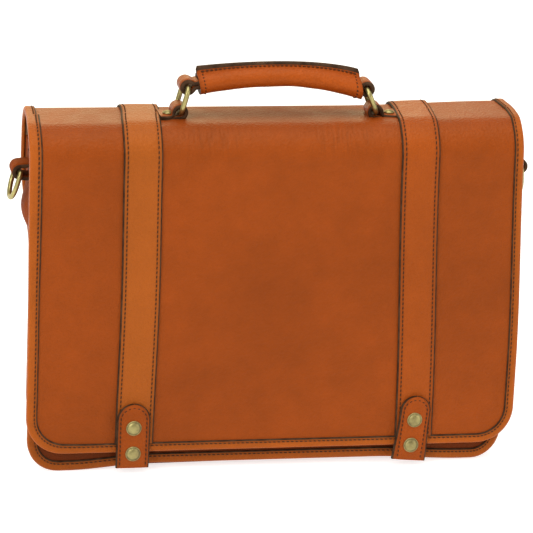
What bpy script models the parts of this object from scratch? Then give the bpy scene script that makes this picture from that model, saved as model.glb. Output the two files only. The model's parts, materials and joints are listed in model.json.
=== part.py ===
"""Tan leather flap-over briefcase with two straps, a padded top handle and two side D-rings.

Run with blender --background --python part.py, or from Blender's text editor. Metres, +Z up.
The origin is on the floor under the middle of the case. +X is the wearer's right of the front face,
-Y is the front, where the flap hangs, and +Y is the back.
"""

import math

import bmesh
import bpy
from mathutils import Matrix, Vector

# ------------------------------------------------------------------ driving dimensions, in metres
FLAP_WIDTH = 0.400  # across the flap, over its bound edges
FLAP_OVERHANG = 0.003  # how far the flap reaches past the body on each side
BODY_DEPTH = 0.086  # front face of the front panel to rear face of the back panel
TOP_HEIGHT = 0.278  # outer surface of the flap's top above the floor
FRONT_PANEL_HEIGHT = 0.248  # upper edge of the front panel
GUSSET_HEIGHT = 0.252  # upper edge of the gusset's two sides
FLAP_EDGE_HEIGHT = 0.0125  # lower edge of the flap above the floor
CORNER_RADIUS = 0.030  # lower corners of the panels and of the flap
REAR_FOLD_RADIUS = 0.022  # outer radius where the back panel turns into the flap's top
FRONT_FOLD_RADIUS = 0.026  # outer radius where the flap's top turns down over the front

PANEL_LEATHER = 0.0026  # panels and flap, leather and lining together
GUSSET_LEATHER = 0.0020
GUSSET_INSET = 0.0035  # outer face of the gusset inside the panels' outer edge
BINDING_LEATHER = 0.0011
BINDING_WIDTH = 0.0085
BINDING_INNER_WIDTH = 0.0029  # lip on the inner face, beside the gusset
CLEAR = 0.0003  # air left between pieces that lie on each other
FLAP_CLEARANCE = 0.0044  # front panel to flap, filled by the two halves of each magnetic clasp

STRAP_WIDTH = 0.030
STRAP_SPACING = 0.226  # between the straps' middle lines
STRAP_LEATHER = 0.0020

TAB_WIDTH = 0.025
TAB_LEATHER = 0.0030  # two layers, folded at the lower end
TAB_BOTTOM = 0.0015  # the tab's fold above the floor
TAB_TOP = 0.054
TAB_LEANS = {"left": 0.0, "right": 4.5}  # degrees that each tab turns about its upper stud
UPPER_STUD_HEIGHT = 0.0347
STUD_SPACING = 0.0197
STUD_RADIUS = 0.00625
STUD_HEIGHT = 0.0024
CLASP_RADIUS = 0.008
CLASP_THICKNESS = 0.0016

CHAPE_BAR_SPAN = 0.160  # between the rings' lower bars
HANDLE_BAR_SPAN = 0.1435  # between the rings' upper bars
RING_PITCH = 0.0226  # lower bar to upper bar
RING_INNER_WIDTH = 0.0215  # between a ring's legs
RING_WIRE = 0.0038
RING_CORNER = 0.0045
CHAPE_LEATHER = 0.0024
LOOP_CLEARANCE = 0.0007  # round a bar inside its leather loop
LOOP_WIDTH = 0.0165
CHAPE_BASE_WIDTH = 0.023
RIVET_RADIUS = 0.0044
RIVET_HEIGHT = 0.0018

HANDLE_RISE = 0.0070  # the grip's middle above the line of its two bars
GRIP_WIDTH = 0.021
GRIP_HEIGHT = 0.0145
GRIP_FIN_WIDTH = 0.0034  # the seam that stands up along the top of the grip
GRIP_FIN_HEIGHT = 0.0038
GRIP_GAP = 0.0016  # from the loop round the bar to the grip's end

D_RING_INNER_WIDTH = 0.025
D_RING_REACH = 0.0235  # bar's middle to the middle of the bow
D_RING_WIRE = 0.0040
D_RING_HEIGHT = 0.235  # bar's middle above the floor
D_RING_STANDOFF = 0.0105  # bar's middle from the gusset
D_RING_LEAN = 16.0  # degrees out from hanging straight down
SIDE_CHAPE_WIDTH = 0.0215
SIDE_CHAPE_LENGTH = 0.036  # flat on the gusset above and below the bar
SIDE_CHAPE_HUMP = 0.016  # where it lifts off the gusset to pass over the bar

DIVIDER_THICKNESS = 0.0034
DIVIDER_HEIGHT = 0.240
BASE_BOARD_THICKNESS = 0.0025
POCKET_WIDTH = 0.290
POCKET_BOTTOM = 0.085
ZIP_HEIGHT = 0.205
POCKET_TOP = 0.226
POCKET_LEATHER = 0.0014
ZIP_WIDTH = 0.008
ZIP_THICKNESS = 0.0018
SLIDER_LENGTH = 0.010
SLIDER_THICKNESS = 0.0026
PULLER_LENGTH = 0.026
PULLER_WIDTH = 0.006
PULLER_THICKNESS = 0.0012
PULLER_HEAD_WIDTH = 0.004
PIN_RADIUS = 0.0006
PIN_REACH = 0.0021  # pin's middle from the slider's front face
EAR_THICKNESS = 0.0008

HINGE_SLIT = 0.0006  # cut in each fold, where the leather bends
FOLD_STEPS = 5
CORNER_STEPS = 8
ROUND_STEPS = 24

# ------------------------------------------------------------------ places worked out from them
BODY_WIDTH = FLAP_WIDTH - 2 * FLAP_OVERHANG
FRONT_STACK = FLAP_CLEARANCE + PANEL_LEATHER + STRAP_LEATHER + TAB_LEATHER + STUD_HEIGHT + 3 * CLEAR
REAR_STACK = CLEAR + STRAP_LEATHER
TOTAL_DEPTH = FRONT_STACK + BODY_DEPTH + REAR_STACK
BACK_Y = TOTAL_DEPTH / 2 - REAR_STACK  # rear face of the back panel
FRONT_Y = BACK_Y - BODY_DEPTH  # front face of the front panel
FLAP_INNER_Y = FRONT_Y - FLAP_CLEARANCE
FLAP_OUTER_Y = FLAP_INNER_Y - PANEL_LEATHER
STRAP_INNER_Y = FLAP_OUTER_Y - CLEAR
STRAP_OUTER_Y = STRAP_INNER_Y - STRAP_LEATHER
TAB_INNER_Y = STRAP_OUTER_Y - CLEAR
TAB_OUTER_Y = TAB_INNER_Y - TAB_LEATHER

FRONT_FOLD = Vector((0, FLAP_OUTER_Y + FRONT_FOLD_RADIUS, TOP_HEIGHT - FRONT_FOLD_RADIUS))
REAR_FOLD = Vector((0, BACK_Y - REAR_FOLD_RADIUS, TOP_HEIGHT - REAR_FOLD_RADIUS))
STRAP_STANDOFF = CLEAR + STRAP_LEATHER
TOP_MIDDLE_Y = (FRONT_FOLD.y + REAR_FOLD.y) / 2

GUSSET_X = BODY_WIDTH / 2 - GUSSET_INSET  # outer face of each side of the gusset
STRAP_X = STRAP_SPACING / 2
LOOP_RADIUS = RING_WIRE / 2 + LOOP_CLEARANCE + CHAPE_LEATHER / 2  # middle of the leather in a loop
GRIP_START = LOOP_RADIUS + CHAPE_LEATHER / 2 + GRIP_GAP  # grip's end from the bar's middle
CHAPE_BAR_X = CHAPE_BAR_SPAN / 2
CHAPE_BAR_Z = TOP_HEIGHT + CLEAR + CHAPE_LEATHER / 2 + LOOP_RADIUS
HANDLE_BAR_X = HANDLE_BAR_SPAN / 2
RING_LEAN = math.asin((CHAPE_BAR_X - HANDLE_BAR_X) / RING_PITCH)
HANDLE_BAR_Z = CHAPE_BAR_Z + RING_PITCH * math.cos(RING_LEAN)
D_RING_X = GUSSET_X + D_RING_STANDOFF
SIDES = {"left": -1, "right": 1}


def fold_pivot(fold, radius, side):
    """The point that a fold turns about: on the strap's outer face, half way round the fold.

    side is -1 for the front fold and 1 for the rear one.
    """
    reach = (radius + STRAP_STANDOFF) * math.sqrt(0.5)
    return fold + Vector((0, side * reach, reach))


REAR_PIVOT = fold_pivot(REAR_FOLD, REAR_FOLD_RADIUS, 1)
FRONT_PIVOT = fold_pivot(FRONT_FOLD, FRONT_FOLD_RADIUS, -1)


# ------------------------------------------------------------------ materials
def material(name, colour, roughness, metallic=0.0):
    """A Principled material in one colour."""
    made = bpy.data.materials.new(name)
    made.use_nodes = True
    shader = made.node_tree.nodes["Principled BSDF"]
    shader.inputs["Base Color"].default_value = (*colour, 1)
    shader.inputs["Roughness"].default_value = roughness
    shader.inputs["Metallic"].default_value = metallic
    made.diffuse_color = (*colour, 1)
    return made


def make_materials():
    return {
        "panel_leather": material("panel_leather", (0.40, 0.105, 0.022), 0.45),
        "strap_leather": material("strap_leather", (0.50, 0.170, 0.035), 0.42),
        "lining": material("lining", (0.23, 0.12, 0.06), 0.9),
        "antique_brass": material("antique_brass", (0.55, 0.45, 0.22), 0.35, 1.0),
        "steel": material("steel", (0.6, 0.6, 0.6), 0.35, 1.0),
        "zip_tape": material("zip_tape", (0.12, 0.07, 0.04), 0.8),
    }


# ------------------------------------------------------------------ shape helpers
def finished(name, mesh, slot, joint=None):
    """A named object from a bmesh. With joint given, the object's origin is moved there."""
    bmesh.ops.recalc_face_normals(mesh, faces=mesh.faces)
    if joint is not None:
        bmesh.ops.translate(mesh, vec=-Vector(joint), verts=mesh.verts)
    data = bpy.data.meshes.new(name)
    mesh.to_mesh(data)
    mesh.free()
    data.materials.append(slot)
    obj = bpy.data.objects.new(name, data)
    bpy.context.scene.collection.objects.link(obj)
    if joint is not None:
        obj.location = joint
    return obj


def arc(centre, radius, start, stop, steps):
    """Points on an arc in a plane. Angles are in degrees, from the first axis to the second."""
    angles = [math.radians(start + (stop - start) * i / steps) for i in range(steps + 1)]
    return [(centre[0] + radius * math.cos(a), centre[1] + radius * math.sin(a)) for a in angles]


def panel_edge(width, bottom, top, radius, inset=0.0):
    """A panel's edge in X and Z: down the left side, round two corners, and up the right side."""
    half, low, turn = width / 2 - inset, bottom + inset, radius - inset
    left = arc((-half + turn, low + turn), turn, 180, 270, CORNER_STEPS)
    right = arc((half - turn, low + turn), turn, 270, 360, CORNER_STEPS)
    return [(-half, top), *left, *right, (half, top)]


def prism(outline, y_from, y_to):
    """An outline in X and Z, extruded along Y."""
    mesh = bmesh.new()
    face = mesh.faces.new([mesh.verts.new((x, y_from, z)) for x, z in outline])
    made = bmesh.ops.extrude_face_region(mesh, geom=[face])["geom"]
    moved = [v for v in made if isinstance(v, bmesh.types.BMVert)]
    bmesh.ops.translate(mesh, vec=(0, y_to - y_from, 0), verts=moved)
    return mesh


def box(x_range, y_range, z_range):
    """A block between three pairs of limits."""
    (x0, x1), (z0, z1) = x_range, z_range
    return prism([(x0, z0), (x1, z0), (x1, z1), (x0, z1)], *y_range)


def ribbon(path, thickness):
    """The outline of a strip of leather, seen on its cut edge, whose middle follows a path."""
    sides = [], []
    for i, (x, z) in enumerate(path):
        before, after = path[max(i - 1, 0)], path[min(i + 1, len(path) - 1)]
        along = Vector((after[0] - before[0], after[1] - before[1])).normalized()
        for side, sign in zip(sides, (1, -1)):
            reach = sign * thickness / 2
            side.append((x - along.y * reach, z + along.x * reach))
    return sides[0] + sides[1][::-1]


def faces_at(mesh, test):
    """The faces whose every corner passes a test."""
    return [f for f in mesh.faces if all(test(v.co) for v in f.verts)]


def carry_round(mesh, faces, centre, degrees):
    """Carries end faces round a fold's axis, along X, so that the leather bends there."""
    edges = {e for f in faces for e in f.edges}
    verts = {v for f in faces for v in f.verts}
    bmesh.ops.spin(
        mesh,
        geom=[*faces, *edges, *verts],
        cent=centre,
        axis=(1, 0, 0),
        angle=math.radians(degrees),
        steps=FOLD_STEPS,
        use_duplicate=False,
    )


def fold_angle(radius):
    """How far the leather goes round a fold on each side of the hinge slit, in degrees."""
    return 45 - math.degrees(HINGE_SLIT / 2 / radius)


def near(value, other):
    return abs(value - other) < 1e-6


def wire_ring(name, path, wire, slot, location, lean):
    """A closed ring of round wire through points in the YZ plane, turned about its joint along Y."""
    curve = bpy.data.curves.new(name, "CURVE")
    curve.dimensions = "3D"
    curve.bevel_depth = wire / 2
    curve.bevel_resolution = 3
    spline = curve.splines.new("POLY")
    spline.points.add(len(path) - 1)
    for point, (y, z) in zip(spline.points, path):
        point.co = (0, y, z, 1)
    spline.use_cyclic_u = True
    obj = bpy.data.objects.new(name, curve)
    obj.location = location
    obj.rotation_euler = (0, lean, 0)
    bpy.context.scene.collection.objects.link(obj)
    curve.materials.append(slot)
    return obj


def dome(radius, height, rim, centre, axis):
    """A domed cap with an upright rim, standing on centre and pointing along axis."""
    mesh = bmesh.new()
    profile = [(0, 0), (radius, 0), (radius, rim)]
    steps = 5
    for i in range(1, steps + 1):
        angle = math.radians(90 * i / steps)
        profile.append((radius * math.cos(angle), rim + (height - rim) * math.sin(angle)))
    profile[-1] = (0, height)
    verts = [mesh.verts.new((r, 0, h)) for r, h in profile]
    edges = [mesh.edges.new(pair) for pair in zip(verts, verts[1:])]
    bmesh.ops.spin(
        mesh,
        geom=[*verts, *edges],
        cent=(0, 0, 0),
        axis=(0, 0, 1),
        angle=math.tau,
        steps=ROUND_STEPS,
        use_merge=True,
    )
    bmesh.ops.remove_doubles(mesh, verts=mesh.verts, dist=1e-6)
    turn = Vector((0, 0, 1)).rotation_difference(Vector(axis)).to_matrix().to_4x4()
    bmesh.ops.transform(mesh, matrix=Matrix.Translation(centre) @ turn, verts=mesh.verts)
    return mesh


def smooth(obj, angle=40):
    """Round pieces are shaded smooth, with sharp edges kept."""
    for polygon in obj.data.polygons:
        polygon.use_smooth = True
    obj.data.set_sharp_from_angle(angle=math.radians(angle))
    return obj


# ------------------------------------------------------------------ the body of the case
def binding_profile(outer_y, inner_y):
    """The section of a folded binding, as distance in from the edge and place along Y.

    outer_y is the panel's outer face and inner_y its inner face. The binding wraps both.
    """
    out = 1 if outer_y > inner_y else -1
    skin = out * (CLEAR + BINDING_LEATHER)
    return [
        (0.0008, outer_y + skin),
        (BINDING_WIDTH, outer_y + skin),
        (BINDING_WIDTH, outer_y + out * CLEAR),
        (BINDING_LEATHER, outer_y + out * CLEAR),
        (BINDING_LEATHER, inner_y - out * CLEAR),
        (BINDING_INNER_WIDTH, inner_y - out * CLEAR),
        (BINDING_INNER_WIDTH, inner_y - skin),
        (0.0008, inner_y - skin),
        (0, inner_y - skin + out * 0.0008),
        (0, outer_y + skin - out * 0.0008),
    ]


def swept_binding(profile, width, bottom, top):
    """A binding's section carried down one side of a panel, along its lower edge and up again."""
    mesh = bmesh.new()
    rings = []
    outlines = [panel_edge(width, bottom, top, CORNER_RADIUS, inset) for inset, _ in profile]
    for station in zip(*outlines):
        rings.append([mesh.verts.new((x, y, z)) for (x, z), (_, y) in zip(station, profile)])
    for ring, following in zip(rings, rings[1:]):
        for i in range(len(profile)):
            j = (i + 1) % len(profile)
            mesh.faces.new((ring[i], ring[j], following[j], following[i]))
    mesh.faces.new(rings[0])
    mesh.faces.new(rings[-1][::-1])
    return mesh


def make_back_panel(materials):
    """The back of the case, which bends forward at the top up to the rear hinge slit."""
    edge = panel_edge(
        BODY_WIDTH, 0, REAR_FOLD.z, CORNER_RADIUS, BINDING_LEATHER + CLEAR
    )
    mesh = prism(edge, BACK_Y - PANEL_LEATHER, BACK_Y)
    upper = faces_at(mesh, lambda co: near(co.z, REAR_FOLD.z))
    carry_round(mesh, upper, REAR_FOLD, fold_angle(REAR_FOLD_RADIUS))
    finished("back_panel", mesh, materials["panel_leather"])


def make_front_panel(materials):
    edge = panel_edge(
        BODY_WIDTH, 0, FRONT_PANEL_HEIGHT, CORNER_RADIUS, BINDING_LEATHER + CLEAR
    )
    mesh = prism(edge, FRONT_Y, FRONT_Y + PANEL_LEATHER)
    finished("front_panel", mesh, materials["panel_leather"])


def make_body_bindings(materials):
    front = binding_profile(FRONT_Y, FRONT_Y + PANEL_LEATHER)
    mesh = swept_binding(front, BODY_WIDTH, 0, FRONT_PANEL_HEIGHT)
    finished("front_binding", mesh, materials["strap_leather"])
    back = binding_profile(BACK_Y, BACK_Y - PANEL_LEATHER)
    mesh = swept_binding(back, BODY_WIDTH, 0, REAR_FOLD.z)
    ends = faces_at(mesh, lambda co: near(co.z, REAR_FOLD.z))
    for end in ends:
        carry_round(mesh, [end], REAR_FOLD, fold_angle(REAR_FOLD_RADIUS))
    finished("back_binding", mesh, materials["strap_leather"])


def make_gusset(materials):
    """The strip that makes both sides and the bottom, in one piece between the two panels."""
    path = panel_edge(
        BODY_WIDTH, 0, GUSSET_HEIGHT, CORNER_RADIUS, GUSSET_INSET + GUSSET_LEATHER / 2
    )
    mesh = prism(
        ribbon(path, GUSSET_LEATHER),
        FRONT_Y + PANEL_LEATHER + CLEAR,
        BACK_Y - PANEL_LEATHER - CLEAR,
    )
    finished("gusset", mesh, materials["panel_leather"])


def make_inside(materials):
    """The stiff base, the padded divider, and the zipped pocket on the back panel."""
    floor_z = GUSSET_INSET + GUSSET_LEATHER + CLEAR
    inner_x = GUSSET_X - GUSSET_LEATHER - CLEAR
    board_x = BODY_WIDTH / 2 - CORNER_RADIUS
    front_y, back_y = FRONT_Y + PANEL_LEATHER + CLEAR, BACK_Y - PANEL_LEATHER - CLEAR
    board_z = floor_z + BASE_BOARD_THICKNESS
    mesh = box((-board_x, board_x), (front_y + 0.001, back_y - 0.001), (floor_z, board_z))
    finished("base_board", mesh, materials["lining"])

    divider_y = (front_y + back_y) / 2
    edge = panel_edge(2 * inner_x, board_z + CLEAR, DIVIDER_HEIGHT, CORNER_RADIUS)
    half = DIVIDER_THICKNESS / 2
    mesh = prism(edge, divider_y - half, divider_y + half)
    finished("divider", mesh, materials["lining"])

    pocket_x, pocket_y = POCKET_WIDTH / 2, back_y - POCKET_LEATHER
    zip_low, zip_high = ZIP_HEIGHT - ZIP_WIDTH / 2, ZIP_HEIGHT + ZIP_WIDTH / 2
    mesh = box((-pocket_x, pocket_x), (pocket_y, back_y), (POCKET_BOTTOM, zip_low - CLEAR))
    finished("pocket_panel", mesh, materials["lining"])
    mesh = box((-pocket_x, pocket_x), (pocket_y, back_y), (zip_high + CLEAR, POCKET_TOP))
    finished("pocket_header", mesh, materials["lining"])
    zip_y = back_y - ZIP_THICKNESS
    mesh = box((-pocket_x, pocket_x), (zip_y, back_y), (zip_low, zip_high))
    finished("zip_chain", mesh, materials["zip_tape"])
    make_zip_slider(materials, pocket_x, zip_y)


def slider_place(pocket_x, zip_y):
    """The middle of the slider's rear face, at the closed end of the zip."""
    return Vector((pocket_x - SLIDER_LENGTH, zip_y - CLEAR, ZIP_HEIGHT))


def make_zip_slider(materials, pocket_x, zip_y):
    """The slider with its two ears and pin, and the puller that hangs from the pin."""
    place = slider_place(pocket_x, zip_y)
    front = place.y - SLIDER_THICKNESS
    pivot = Vector((place.x, front - PIN_REACH, place.z))
    half = SLIDER_LENGTH / 2
    body = box(
        (place.x - half, place.x + half),
        (front, place.y),
        (place.z - ZIP_WIDTH / 2, place.z + ZIP_WIDTH / 2),
    )
    slider = finished("zip_slider", body, materials["antique_brass"])
    ear_in = PULLER_HEAD_WIDTH / 2 + CLEAR
    for sign in SIDES.values():
        sides = sorted((place.x + sign * ear_in, place.x + sign * (ear_in + EAR_THICKNESS)))
        depth = (pivot.y - 2 * PIN_RADIUS, front + EAR_THICKNESS / 2)
        tall = (place.z - 2 * PIN_RADIUS, place.z + 2 * PIN_RADIUS)
        ear = finished(f"ear_{sign}", box(sides, depth, tall), materials["antique_brass"])
        join(slider, ear)
    pin_length = 2 * ear_in + EAR_THICKNESS
    pin = finished("pin", rod(PIN_RADIUS, pin_length, pivot), materials["antique_brass"])
    join(slider, pin)

    narrow, wide = PULLER_HEAD_WIDTH / 2, PULLER_WIDTH / 2
    shoulder = -3 * PIN_RADIUS - CLEAR
    outline = [
        (-narrow, 0),
        (-narrow, shoulder),
        (-wide, shoulder - wide + narrow),
        (-wide, -PULLER_LENGTH),
        (wide, -PULLER_LENGTH),
        (wide, shoulder - wide + narrow),
        (narrow, shoulder),
        (narrow, 0),
    ]
    plate = [(place.x + x, pivot.z + z) for x, z in outline]
    half = PULLER_THICKNESS / 2
    mesh = prism(plate, pivot.y - half, pivot.y + half)
    puller = finished("zip_puller", mesh, materials["antique_brass"], pivot)
    eye = PIN_RADIUS + CLEAR
    head = rod(eye + PULLER_THICKNESS / 2, PULLER_HEAD_WIDTH, pivot)
    join(puller, finished("puller_head", head, materials["antique_brass"]))
    cut(puller, finished("puller_eye", rod(eye, 2 * PULLER_WIDTH, pivot), materials["antique_brass"]))


def rod(radius, length, middle):
    """A round rod along X."""
    mesh = bmesh.new()
    place = Matrix.Translation(middle) @ Matrix.Rotation(math.pi / 2, 4, "Y")
    bmesh.ops.create_cone(
        mesh,
        cap_ends=True,
        segments=16,
        radius1=radius,
        radius2=radius,
        depth=length,
        matrix=place,
    )
    return mesh


def hidden(obj):
    obj.hide_render = True
    obj.display_type = "WIRE"


def cut(obj, cutter):
    hidden(cutter)
    modifier = obj.modifiers.new("cut", "BOOLEAN")
    modifier.object = cutter
    modifier.operation = "DIFFERENCE"


def join(obj, other):
    hidden(other)
    modifier = obj.modifiers.new("join", "BOOLEAN")
    modifier.object = other
    modifier.operation = "UNION"


# ------------------------------------------------------------------ the flap
def make_flap_top(materials):
    """The part of the flap over the top of the case, between the two hinge slits."""
    half = FLAP_WIDTH / 2 - BINDING_LEATHER - CLEAR
    mesh = box(
        (-half, half), (FRONT_FOLD.y, REAR_FOLD.y), (TOP_HEIGHT - PANEL_LEATHER, TOP_HEIGHT)
    )
    carry_over_top(mesh)
    finished("flap_top_panel", mesh, materials["panel_leather"])

    out, width, inner = CLEAR + BINDING_LEATHER, BINDING_WIDTH, BINDING_INNER_WIDTH
    low, high = TOP_HEIGHT - PANEL_LEATHER, TOP_HEIGHT
    for side, sign in SIDES.items():
        edge = FLAP_WIDTH / 2
        section = [
            (edge - 0.0008, high + out),
            (edge - width, high + out),
            (edge - width, high + CLEAR),
            (edge - BINDING_LEATHER, high + CLEAR),
            (edge - BINDING_LEATHER, low - CLEAR),
            (edge - inner, low - CLEAR),
            (edge - inner, low - out),
            (edge - 0.0008, low - out),
            (edge, low - out + 0.0008),
            (edge, high + out - 0.0008),
        ]
        mesh = prism([(sign * x, z) for x, z in section], FRONT_FOLD.y, REAR_FOLD.y)
        carry_over_top(mesh)
        finished(f"{side}_top_binding", mesh, materials["strap_leather"])


def carry_over_top(mesh):
    """Bends both ends of a flat top piece half way round the front and rear folds."""
    front = faces_at(mesh, lambda co: near(co.y, FRONT_FOLD.y))
    rear = faces_at(mesh, lambda co: near(co.y, REAR_FOLD.y))
    carry_round(mesh, front, FRONT_FOLD, fold_angle(FRONT_FOLD_RADIUS))
    carry_round(mesh, rear, REAR_FOLD, -fold_angle(REAR_FOLD_RADIUS))


def make_flap_front(materials):
    """The part of the flap that hangs over the front, with its binding."""
    edge = panel_edge(
        FLAP_WIDTH, FLAP_EDGE_HEIGHT, FRONT_FOLD.z, CORNER_RADIUS, BINDING_LEATHER + CLEAR
    )
    mesh = prism(edge, FLAP_OUTER_Y, FLAP_INNER_Y)
    upper = faces_at(mesh, lambda co: near(co.z, FRONT_FOLD.z))
    carry_round(mesh, upper, FRONT_FOLD, -fold_angle(FRONT_FOLD_RADIUS))
    finished("flap_front_panel", mesh, materials["panel_leather"], FRONT_PIVOT)

    profile = binding_profile(FLAP_OUTER_Y, FLAP_INNER_Y)
    mesh = swept_binding(profile, FLAP_WIDTH, FLAP_EDGE_HEIGHT, FRONT_FOLD.z)
    for end in faces_at(mesh, lambda co: near(co.z, FRONT_FOLD.z)):
        carry_round(mesh, [end], FRONT_FOLD, -fold_angle(FRONT_FOLD_RADIUS))
    finished("flap_binding", mesh, materials["strap_leather"], FRONT_PIVOT)


def make_straps(materials):
    """Each strap runs up the back, over the top and down the front, in three pieces."""
    front_end = FLAP_EDGE_HEIGHT + BINDING_WIDTH + CLEAR
    back_end = BINDING_WIDTH + CLEAR
    back_inner, back_outer = BACK_Y + CLEAR, BACK_Y + STRAP_STANDOFF
    for side, sign in SIDES.items():
        middle = sign * STRAP_X
        across = middle - STRAP_WIDTH / 2, middle + STRAP_WIDTH / 2
        mesh = box(across, (STRAP_OUTER_Y, STRAP_INNER_Y), (front_end, FRONT_FOLD.z))
        upper = faces_at(mesh, lambda co: near(co.z, FRONT_FOLD.z))
        carry_round(mesh, upper, FRONT_FOLD, -fold_angle(FRONT_FOLD_RADIUS))
        finished(f"{side}_front_strap", mesh, materials["strap_leather"], FRONT_PIVOT)

        surface = TOP_HEIGHT + CLEAR, TOP_HEIGHT + STRAP_STANDOFF
        mesh = box(across, (FRONT_FOLD.y, REAR_FOLD.y), surface)
        carry_over_top(mesh)
        finished(f"{side}_top_strap", mesh, materials["strap_leather"])

        mesh = box(across, (back_inner, back_outer), (back_end, REAR_FOLD.z))
        upper = faces_at(mesh, lambda co: near(co.z, REAR_FOLD.z))
        carry_round(mesh, upper, REAR_FOLD, fold_angle(REAR_FOLD_RADIUS))
        finished(f"{side}_back_strap", mesh, materials["strap_leather"])


def make_tabs(materials):
    """Each closing tab with its two studs, and the magnetic clasp hidden behind it."""
    for side, sign in SIDES.items():
        middle = sign * STRAP_X
        half = TAB_WIDTH / 2
        head = arc((middle, TAB_TOP - half), half, 0, 180, 2 * CORNER_STEPS)
        outline = [(middle - half, TAB_BOTTOM), (middle + half, TAB_BOTTOM), *head]
        upper = Vector((middle, 0, UPPER_STUD_HEIGHT))
        lean = Matrix.Rotation(math.radians(TAB_LEANS[side]), 4, "Y")
        turned = Matrix.Translation(upper) @ lean @ Matrix.Translation(-upper)
        mesh = prism(outline, TAB_OUTER_Y, TAB_INNER_Y)
        bmesh.ops.transform(mesh, matrix=turned, verts=mesh.verts)
        lift = max(0.0, TAB_BOTTOM - min(v.co.z for v in mesh.verts))
        bmesh.ops.translate(mesh, vec=(0, 0, lift), verts=mesh.verts)
        finished(f"{side}_tab", mesh, materials["strap_leather"], FRONT_PIVOT)

        for level, drop in (("upper", 0.0), ("lower", STUD_SPACING)):
            place = turned @ Vector((middle, TAB_OUTER_Y - CLEAR, UPPER_STUD_HEIGHT - drop))
            place.z += lift
            mesh = dome(STUD_RADIUS, STUD_HEIGHT, STUD_HEIGHT / 3, place, (0, -1, 0))
            smooth(finished(f"{side}_{level}_stud", mesh, materials["antique_brass"], FRONT_PIVOT))

        disc = [(middle, UPPER_STUD_HEIGHT), CLASP_RADIUS, 0, 360 - 360 / ROUND_STEPS]
        disc = arc(*disc, ROUND_STEPS - 1)
        on_flap = FLAP_INNER_Y + CLEAR
        mesh = prism(disc, on_flap, on_flap + CLASP_THICKNESS)
        finished(f"{side}_flap_magnet", mesh, materials["steel"], FRONT_PIVOT)
        on_case = FRONT_Y - CLEAR
        mesh = prism(disc, on_case - CLASP_THICKNESS, on_case)
        finished(f"{side}_case_magnet", mesh, materials["steel"])


# ------------------------------------------------------------------ loops, rings and handle
def tangent_angle(point, radius, sign):
    """The angle on a circle where a line from an outside point touches it."""
    reach = math.hypot(*point)
    return math.atan2(point[1], point[0]) + sign * math.acos(radius / reach)


def loop_path(radius, low, high, join_at, end):
    """The middle line of a strip folded round a bar at the origin.

    Both layers run along the first axis from end to join_at, at heights low and high.
    """
    start = tangent_angle((join_at, low), radius, -1)
    stop = tangent_angle((join_at, high), radius, 1) - math.tau
    turns = arc((0, 0), radius, math.degrees(start), math.degrees(stop), 14)
    return [(end, low), (join_at, low), *turns, (join_at, high), (end, high)]


def make_handle_chapes(materials):
    """The leather chapes that hold the rings' lower bars, and the rivet through each."""
    low = -LOOP_RADIUS
    high = low + CHAPE_LEATHER + CLEAR
    strap_edge = STRAP_X - STRAP_WIDTH / 2 - CLEAR
    end = strap_edge - CHAPE_BAR_X
    join_at = 1.35 * LOOP_RADIUS
    wide, narrow = CHAPE_BASE_WIDTH / 2, LOOP_WIDTH / 2
    for side, sign in SIDES.items():
        path = loop_path(LOOP_RADIUS, low, high, join_at, end)
        strip = [(u, v) for u, v in ribbon(path, CHAPE_LEATHER)]
        outline = [(sign * (CHAPE_BAR_X + u), CHAPE_BAR_Z + v) for u, v in strip]
        mesh = prism(outline, TOP_MIDDLE_Y - narrow, TOP_MIDDLE_Y + narrow)
        widen(mesh, sign * (CHAPE_BAR_X + join_at), sign * strap_edge, wide / narrow)
        finished(f"{side}_handle_chape", mesh, materials["strap_leather"])

        rivet_x = sign * (strap_edge - RIVET_RADIUS - CLEAR)
        rivet_z = CHAPE_BAR_Z + high + CHAPE_LEATHER / 2 + CLEAR
        mesh = dome(
            RIVET_RADIUS, RIVET_HEIGHT, RIVET_HEIGHT / 3, (rivet_x, TOP_MIDDLE_Y, rivet_z), (0, 0, 1)
        )
        smooth(finished(f"{side}_chape_rivet", mesh, materials["antique_brass"]))


def widen(mesh, from_x, to_x, times):
    """Spreads a chape in Y where its two layers lie flat, from the loop to the strap."""
    for vert in mesh.verts:
        share = (vert.co.x - from_x) / (to_x - from_x)
        grown = 1 + (times - 1) * min(1.0, max(0.0, share) + (0.0 if share < -0.001 else 0.35))
        vert.co.y = TOP_MIDDLE_Y + (vert.co.y - TOP_MIDDLE_Y) * (grown if share > -0.001 else 1)


def ring_path():
    """A handle ring's wire: two bars along Y joined by two legs, with round corners."""
    half = RING_INNER_WIDTH / 2 + RING_WIRE / 2
    corners = [
        (half - RING_CORNER, RING_CORNER, 270),
        (half - RING_CORNER, RING_PITCH - RING_CORNER, 0),
        (-half + RING_CORNER, RING_PITCH - RING_CORNER, 90),
        (-half + RING_CORNER, RING_CORNER, 180),
    ]
    return [p for y, z, a in corners for p in arc((y, z), RING_CORNER, a, a + 90, 4)]


def make_rings(materials):
    for side, sign in SIDES.items():
        place = (sign * CHAPE_BAR_X, TOP_MIDDLE_Y, CHAPE_BAR_Z)
        wire_ring(
            f"{side}_ring", ring_path(), RING_WIRE, materials["antique_brass"], place, -sign * RING_LEAN
        )


def handle_arc():
    """Centre height and radius of the arc through both bars and the top of the grip."""
    half = HANDLE_BAR_X
    radius = (half**2 + HANDLE_RISE**2) / (2 * HANDLE_RISE)
    return HANDLE_BAR_Z + HANDLE_RISE - radius, radius


def grip_section():
    """The grip's section in Y and Z: an oval whose seam stands up as a fin on top."""
    wide, high = GRIP_WIDTH / 2, GRIP_HEIGHT / 2
    fin = GRIP_FIN_WIDTH / 2
    meet = math.degrees(math.acos(fin / wide))
    oval = arc((0, 0), 1, 180 - meet, 360 + meet, 20)
    points = [(y * wide, z * high) for y, z in oval]
    return [*points, (fin, high + GRIP_FIN_HEIGHT), (-fin, high + GRIP_FIN_HEIGHT)]


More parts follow.
